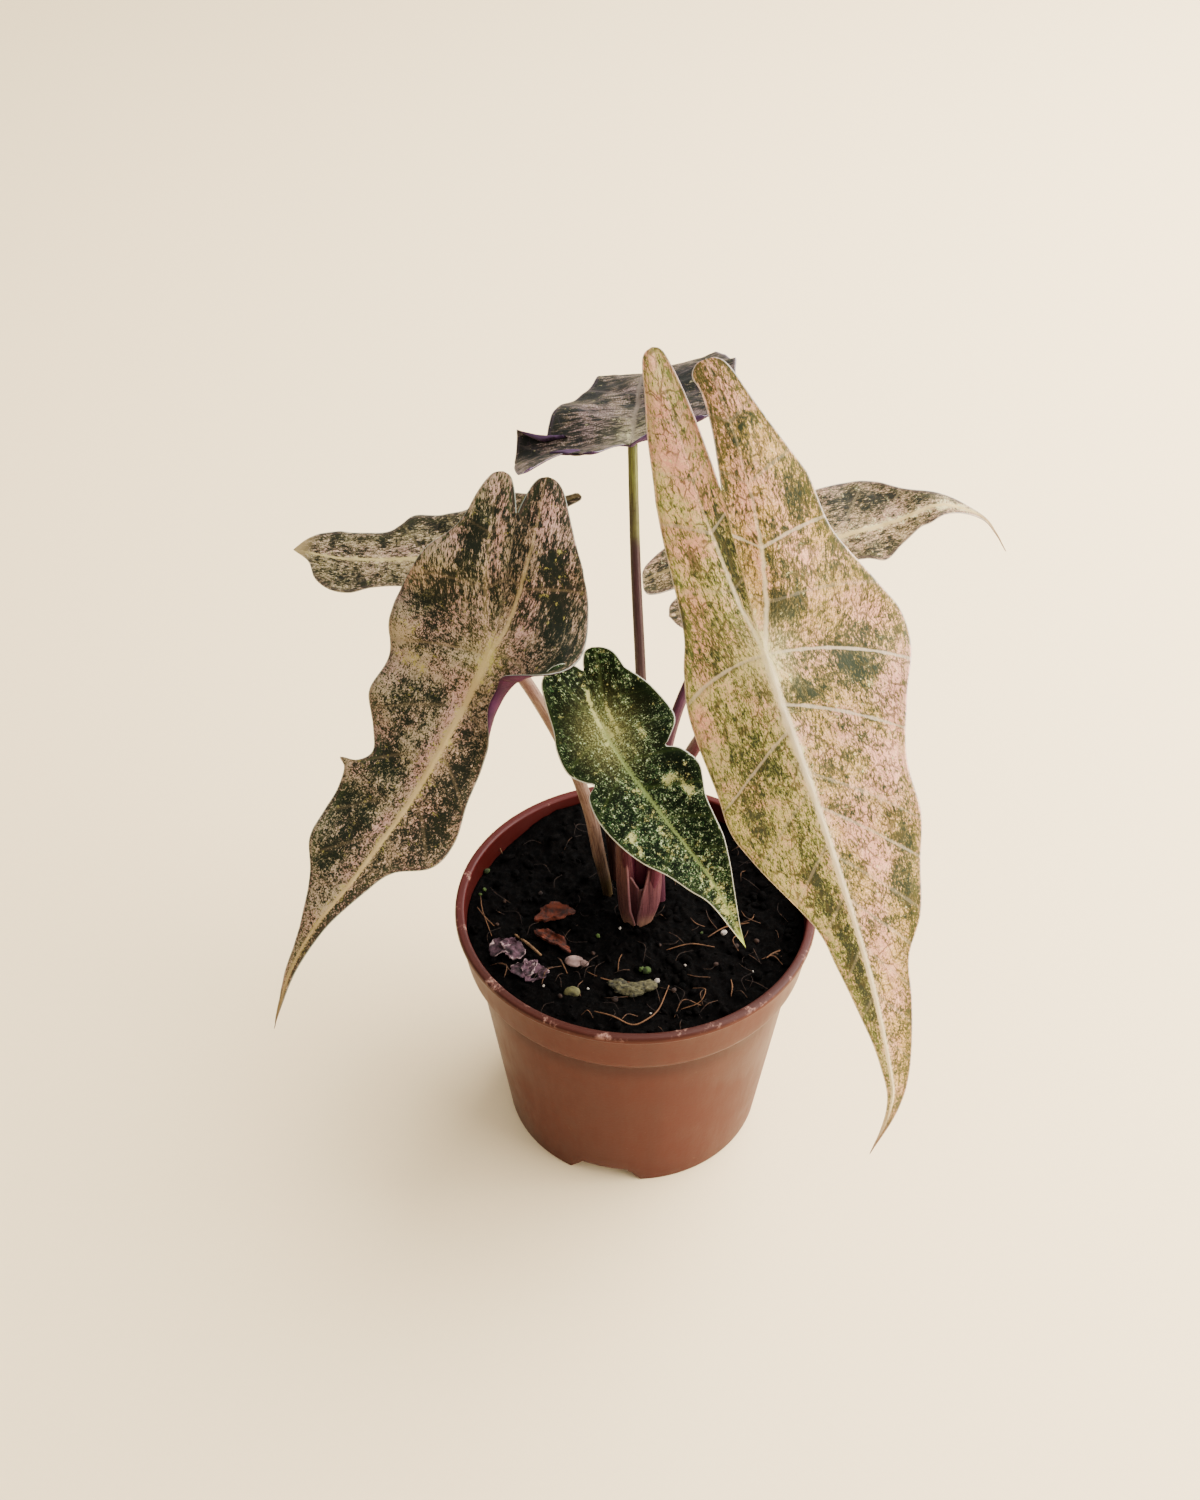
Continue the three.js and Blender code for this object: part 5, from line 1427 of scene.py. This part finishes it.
# Fibres that the photo shows singly: their radius, and their [x, y, height above the soil] points
SHOWN_FIBRES = [
    (0.25, [[-13.7, -42, 0.2], [-8, -44.6, 1], [-1.7, -47.1, 0.6], [3, -45, 1], [7, -40, 1.2],
            [10.5, -30.4, 0.4]]),
    (0.33, [[47.4, -15, 0.4], [45, -17, 1], [42.6, -19.4, 0.4]]),
    (0.25, [[30.3, -35.2, 0.2], [30.8, -32, 1], [30.6, -28.6, 0.2]]),
    (0.28, [[-25.6, -18.4, 0.1], [-24.4, -21, 0.5], [-22.4, -24.8, 0.1]]),
    (0.19, [[-16, -24.6, 0.1], [-10, -27.4, 0.4], [-2, -27.8, 0.1]]),
    (0.22, [[10, -14, 0.4], [18, -12.4, 1.6], [26, -13, 0.3]]),
    (0.25, [[24, -8, 0.2], [30, -4, 1], [38, -2, 0.2]]),
    (0.19, [[-6, -24, 0.2], [-5.6, -21, 1.6], [-4.6, -18.6, 2.6]]),
    (0.17, [[14, -40, 0.1], [20, -38, 0.7], [22, -34, 0.9], [18, -32, 0.3]]),
    (0.25, [[-53, 3.9, 0.3], [-50, -1, 1.2], [-47, -5, 0.2]]),
    (0.19, [[-52, 8, 1], [-51, 1, 2.2], [-47.6, -9, 0.4]]),
    (0.3, [[-49, 37, 5], [-47.4, 34, 3.4], [-45.7, 30.6, 1.2]]),
]


def strand(route, radius):
    """A thin fibre that follows [x, y, height above the soil] points, thinner at its ends."""
    points = []
    for k, (x, y, above) in enumerate(route):
        thin = 0.6 if k in (0, len(route) - 1) else 1
        points.append([x, y, ground_at(x, y) + FIBRE_LIFT + above, radius * thin])
    return tube(points, sides=6, steps=6)[:2]


def make_fibres(material):
    """Straw and root fibres: the ones that the photo shows singly, and small loose ones."""
    fibres = Parts()
    for index, (radius, route) in enumerate(SHOWN_FIBRES):
        fibres.add(*strand(route, radius), (0.6 - 0.1 * (index % 4), 0, 0))
    places, numbers = scattered(**FIBRES)
    for start, (spin, stretch, bulk) in zip(places, numbers):
        turn = math.tau * spin
        length = 3 + 8 * stretch
        way = np.array([math.cos(turn), math.sin(turn)])
        bend = np.array([-way[1], way[0]]) * (bulk - 0.5) * length * 0.7
        middle = start + way * length / 2 + bend
        end = start + way * length
        bare = start[0] < BARE_CORNER[0] and start[1] > BARE_CORNER[1]
        if np.linalg.norm(end) < FIBRE_LIMIT and not (bare and bulk > BARE_SHARE):
            route = [[*start, 0.1], [*middle, 0.5 + bulk], [*end, 0.1]]
            fibres.add(*strand(route, 0.08 + 0.12 * bulk), (bulk - 0.7, 0, 0))
    fibres.piece("soil_fibres", material, "straw")


# Small round grains at [x, y, size]
GRAINS = {
    "perlite_grains": {"matter": "white_perlite", "slot": "stone", "grains": [
        [6.7, -27.8, 1.7], [-5.1, -4.9, 1], [-15.7, -31.3, 0.8], [29.4, -5.8, 1.9], [16, -21.6, 0.8],
        [4.4, -41, 0.6], [-30, -31.6, 0.8], [38, -24, 0.6],
    ]},
    "green_grains": {"matter": "green_bits", "slot": "moss", "grains": [
        [3.5, -23, 2.6], [1.6, -22.4, 1.8], [-12.5, -8.1, 1.4], [-50.6, 22.2, 1.9], [-51, 13.4, 1.4],
        [-52.4, 10.6, 1.2], [22, -6, 1],
    ]},
    "brown_bits": {"matter": "brown_bits", "slot": "bark", "grains": [
        [-7, -35.6, 2], [12, -32, 1.6], [-24.6, -35.4, 1.4], [26, -22, 1.4], [-14, -16, 1.2], [40, -10, 1.6],
        [-32, 12, 1.4], [-44, 8, 1.2], [33, -13, 1.6], [8, -12, 1], [-46, -4, 1.2], [14, 26, 1.6],
    ]},
}


def make_grains(name, matter, slot, grains):
    parts = Parts()
    for k, (x, y, size) in enumerate(grains):
        at = [x, y, ground_at(x, y) + size * 0.3]
        points, faces = lump(at, [size * 1.2, size, size * 0.9], 70 * k, k, roughness=0.18)
        parts.add(points, faces, (0.1 * (k % 3), 0, 0))
    parts.piece(name, rough_material(matter, **MATTER[matter]), slot)


# Bits on the soil

def flake(at, size, turn, seed, curl, thickness=0.5, pointed=2.4):
    """A thin crumpled sheet with a ragged edge, closed below, and for each point how near the edge it is."""
    rows, columns = 18, 26
    v, u = np.meshgrid(np.linspace(-1, 1, rows), np.linspace(-1, 1, columns), indexing="ij")
    narrow = np.sqrt(np.maximum(0.02, 1 - np.abs(u) ** pointed))
    spots = np.stack([u.ravel(), (v * narrow).ravel()], axis=1)
    ragged = 1 + 0.22 * layered_noise(spots + seed, 0.5, seed, 3)
    crumple = layered_noise(spots + 3 * seed, 0.8, seed + 40, 3)
    flat = turned(spots * ragged[:, None] * (np.array(size[:2]) / 2), turn) + at[:2]
    height = size[2] * (0.35 * crumple + curl * spots[:, 1] ** 2)
    top = np.concatenate([flat, (at[2] + height)[:, None]], axis=1)
    bottom = top - np.array([0, 0, thickness])
    edge = np.maximum(np.abs(u), np.abs(v)).ravel() ** 4
    faces = close_sheet(grid_faces(rows, columns), len(top))
    return np.concatenate([top, bottom]), faces, np.concatenate([edge, edge])


def way_to(turn):
    """One mm in a direction given in degrees."""
    return np.array([math.cos(math.radians(turn)), math.sin(math.radians(turn)), 0])


def add_bark_chip(parts, at, size, turn, seed):
    points, faces, _ = flake(at + [0, 0, 0.6], size, turn, seed + 5, curl=0.5, thickness=1.1, pointed=1.3)
    parts.add(points, faces, (0.1, 0, 0))


def add_stick(parts, at, size, turn, _):
    reach = way_to(turn) * size[0] / 2
    stations = ((at - reach, -0.2, 0.4), (at, 0.3, 0.55), (at + reach, -0.1, 0.4))
    route = [[*(place + [0, 0, rise]), radius] for place, rise, radius in stations]
    parts.add(*tube(route, sides=10, steps=10)[:2], (0.3, 0, 0))


def add_leaf_scrap(parts, at, size, turn, seed):
    """Three crumpled flakes on top of each other."""
    for k, (x, y, part) in enumerate([(-2.4, 1, 0.62), (2.4, -0.8, 0.66), (0.4, 2.2, 0.5)]):
        flake_size = [size[0] * part, size[1] * part * 1.2, 2.4]
        where = at + [x, y, 0.7 + 0.25 * k]
        points, faces, edge = flake(where, flake_size, turn + 50 * k, seed + k, curl=0.3)
        none = np.zeros_like(edge)
        parts.add(points, faces, np.stack([none + 0.25 * k - 0.2, edge, none], axis=1))


def add_grey_chip(parts, at, _, turn, seed):
    """Two joined lumps, like a shell and its hinge."""
    for x, y, long, wide in ((-0.8, 0.2, 6.4, 4.6), (2.4, -0.8, 3.6, 2.4)):
        chip = lump(at + [x, y, 0.4], [long, wide, 2.2], turn - 14, seed, roughness=0.12)
        parts.add(*chip, (0.1, 0, 0))


def add_pebble(parts, at, size, turn, seed):
    parts.add(*lump(at, size, turn, seed + 3, roughness=0.2, sides=20, rings=12), (0.2, 0, 0))


def add_moss(parts, at, size, turn, seed):
    """Three soft lumps in a row."""
    for k, (along, part) in enumerate([(-3.6, 0.5), (0.4, 0.55), (4, 0.45)]):
        lump_size = [size[0] * part, size[1] * 0.8, size[2] * 0.8]
        where = at + along * way_to(turn) - [0, 0, 0.5]
        tuft = lump(where, lump_size, turn + 20 * k, seed + k, roughness=0.7, sides=28, rings=18)
        parts.add(*tuft, (0.15 * k, 0, 0))


# How each kind of bit is made, of what matter, in which slot, and how its piece's name ends
BIT_KINDS = {
    "bark_chip": (add_bark_chip, "bark_chips", "bark", "rough"),
    "stick": (add_stick, "pale_straw", "straw", "straw"),
    "leaf_scrap": (add_leaf_scrap, "dead_leaf", "dead_leaf", "crumpled"),
    "grey_chip": (add_grey_chip, "grey_mineral", "stone", "rough"),
    "pebble": (add_pebble, "yellow_pebble", "stone", "rough"),
    "moss": (add_moss, "dull_moss", "moss", "soft"),
}

# Each bit stands for one solid and keeps its place and size.
BITS = {
    "bark_chip_back": {"kind": "bark_chip", "at": [-27.5, 1.5], "turn": 12, "size": [13, 7, 2.4]},
    "bark_chip_front": {"kind": "bark_chip", "at": [-27, -11], "turn": -38, "size": [14, 5, 2.2]},
    "pale_stick": {"kind": "stick", "at": [-35.5, -12.5], "turn": -47, "size": [13, 1.5, 1.5]},
    "dead_leaf_scrap_back": {"kind": "leaf_scrap", "at": [-42, -15.5], "turn": 20, "size": [11, 9, 1.8]},
    "dead_leaf_scrap_front": {"kind": "leaf_scrap", "at": [-35, -25.5], "turn": -28, "size": [12, 8, 1.8]},
    "grey_chip": {"kind": "grey_chip", "at": [-19.5, -20.5], "turn": 10, "size": [8, 4.4, 2]},
    "pebble": {"kind": "pebble", "at": [-20.8, -33.5], "turn": 0, "size": [4.6, 4, 3.6]},
    "moss_lump": {"kind": "moss", "at": [-2, -31], "turn": -8, "size": [14, 5, 3]},
}
BIT_LIFT = 0.9


def make_bits():
    materials = {matter: rough_material(matter, **MATTER[matter]) for _, matter, _, _ in BIT_KINDS.values()}
    for index, (name, bit) in enumerate(BITS.items()):
        add, matter, slot, ending = BIT_KINDS[bit["kind"]]
        parts = Parts()
        add(parts, np.array([*bit["at"], SOIL_LEVEL + BIT_LIFT]), bit["size"], bit["turn"], index)
        parts.piece(f"{name}_{ending}", materials[matter], slot, [name])


# Crown

def bar(points, sides, steps, flat=0.0):
    """A fleshy bar, a little angular, with faint ridges along it."""
    def swell(turns):
        ridges = 0.02 * np.cos(2 * np.pi * turns * 7 + 1.3) + 0.012 * np.cos(2 * np.pi * turns * 16)
        return 1 + ridges + flat * np.cos(4 * np.pi * turns)
    return tube(points, sides, steps, swell)


def add_sheath(crown, inset, top, slit, inside):
    """One skin of leaf bases, open in front along its slit."""
    points = []
    values = []
    heights, *columns = zip(*CROWN_CONE)
    for layer, inwards in enumerate((inset, inset + CROWN_SKIN)):
        for i in range(CROWN_ROWS):
            for j in range(CROWN_COLUMNS):
                share = j / (CROWN_COLUMNS - 1)
                z = CROWN_FOOT + (np.interp(share, *top) - CROWN_FOOT) * i / (CROWN_ROWS - 1)
                x, y, wide, deep = (np.interp(z, heights, column) for column in columns)
                left, right = (np.interp(z, slit[0], opening) for opening in slit[1:])
                angle = math.radians(right - 90 + (360 - left - right) * share)
                ridges = 0.12 * math.sin(7 * angle) + 0.06 * math.sin(17 * angle)
                points.append([x + (wide - inwards + ridges) * math.cos(angle),
                               y + (deep - inwards + ridges) * math.sin(angle), z])
                rim = max(i / (CROWN_ROWS - 1), abs(2 * share - 1)) ** 30
                values.append([max(layer, inside), rim, angle])
    faces = close_sheet(grid_faces(CROWN_ROWS, CROWN_COLUMNS), CROWN_ROWS * CROWN_COLUMNS)
    crown.add(np.array(points), faces, np.array(values))


def make_crown(material):
    """A bulb of fused leaf bases round a core painted dark as shade, open in front along a V."""
    crown = Parts()
    for sheath in CROWN_SHEATHS:
        add_sheath(crown, **sheath)
    for k, core in enumerate(CROWN_CORES):
        shape, faces, places = bar(core, sides=32, steps=12)
        # The cores get the darkest painted shade.
        inner = np.zeros_like(places)
        inner[:, 0] = 1
        inner[:, 2] = places[:, 1] * 1.6 + k
        crown.add(shape, faces, inner)
    crown.piece("crown_sheath", material, "crown", ["crown"])


# Stalks

def make_stalk(name, route, look):
    """A stalk that ends in the rib beneath the blade, a little before the solid one does."""
    colours = [look[part] for part in ("low", "middle", "high")]
    material = stalk_material(f"stalk_{name}", *colours, look["bends"])
    route = np.array(route, float)
    last = route[-1, :3] - route[-2, :3]
    route[-1, :3] -= last / np.linalg.norm(last) * route[-1, 3] * look["short"]
    points, faces, values = bar(route, sides=28, steps=14, flat=0.03)
    make_piece(f"petiole_{name}", points, faces, material, [f"stalk_{name}"], {"own": values})


# Camera, floor and light

CAMERA_PLACE = (-0.01179, -0.46947, 0.56358)
CAMERA_TURN = 49.171
CAMERA_LENS = 48
FLOOR_COLOUR = (252, 226, 178)
FLOOR_REACH = 4000

# The world is brightest towards this side. Its strength is given away from and towards it.
WORLD_COLOUR = (1, 0.97, 0.92, 1)
BRIGHT_SIDE = (0.64, 0.2, 0.742)
BRIGHT_RANGE = (-0.2, 1)
ROOM_LIGHT = (0.62, 1.75)

# Round lights: where they are and point to, their size and power
LIGHTS = {
    "window": {"place": (0.95, 0.6, 0.9), "target": (0.75, 0.45, 0), "size": 1.7, "power": 78,
               "colour": (1, 0.985, 0.96)},
    "side": {"place": (0.85, -0.3, 0.4), "target": (0, 0, 0.1), "size": 0.8, "power": 19,
             "colour": (1, 0.98, 0.95)},
}


def place_camera():
    data = bpy.data.cameras.new("camera")
    data.lens = CAMERA_LENS
    data.sensor_fit = "AUTO"
    data.sensor_width = 36
    data.clip_start = 0.01
    camera = add_object("camera", data)
    camera.location = CAMERA_PLACE
    camera.rotation_euler = (math.radians(CAMERA_TURN), 0, 0)
    bpy.context.scene.camera = camera


def lay_floor():
    corners = [[x * FLOOR_REACH, y * FLOOR_REACH, 0] for x, y in ((-1, -1), (1, -1), (1, 1), (-1, 1))]
    mesh = make_mesh("floor", corners, [[0, 1, 2, 3]])
    mesh.materials.append(floor_material())
    floor = add_object("floor", mesh)


def add_area_light(name, place, target, size, power, colour):
    data = bpy.data.lights.new(name, "AREA")
    data.shape = "DISK"
    data.size = size
    data.energy = power
    data.color = colour
    light = add_object(name, data)
    light.location = place
    away = np.array(place) - np.array(target)
    flat = math.hypot(away[0], away[1])
    light.rotation_euler = (math.atan2(flat, away[2]), 0, math.atan2(away[0], -away[1]))


def light_scene():
    """A soft room that is brighter to the right, with a near window behind on the right and a lower one."""
    world = bpy.data.worlds.new("studio")
    world.use_nodes = True
    tree = world.node_tree
    back = tree.nodes["Background"]
    back.inputs["Color"].default_value = WORLD_COLOUR
    turn = tree.nodes.new("ShaderNodeTexCoord")
    towards = tree.nodes.new("ShaderNodeVectorMath")
    towards.operation = "DOT_PRODUCT"
    towards.inputs[1].default_value = BRIGHT_SIDE
    rise = tree.nodes.new("ShaderNodeMapRange")
    rise.interpolation_type = "SMOOTHSTEP"
    for value, socket in zip((*BRIGHT_RANGE, *ROOM_LIGHT), rise.inputs[1:5]):
        socket.default_value = value
    tree.links.new(turn.outputs["Generated"], towards.inputs[0])
    tree.links.new(towards.outputs["Value"], rise.inputs[0])
    tree.links.new(rise.outputs[0], back.inputs["Strength"])
    bpy.context.scene.world = world
    for name, light in LIGHTS.items():
        add_area_light(name, **light)


# Assembly

place_camera()
lay_floor()
light_scene()
for leaf_name, leaf_data in LEAVES.items():
    make_blade(leaf_name, leaf_data)
    make_stalk(leaf_name, leaf_data["stalk"], leaf_data["stalk_look"])
make_pot(pot_material())
peat = peat_material()
make_soil(peat)
make_crumbs(peat)
make_crown(sheath_material())
make_bits()
make_fibres(rough_material("brown_fibre", **MATTER["brown_fibre"]))
for grains_name, grains_data in GRAINS.items():
    make_grains(grains_name, **grains_data)
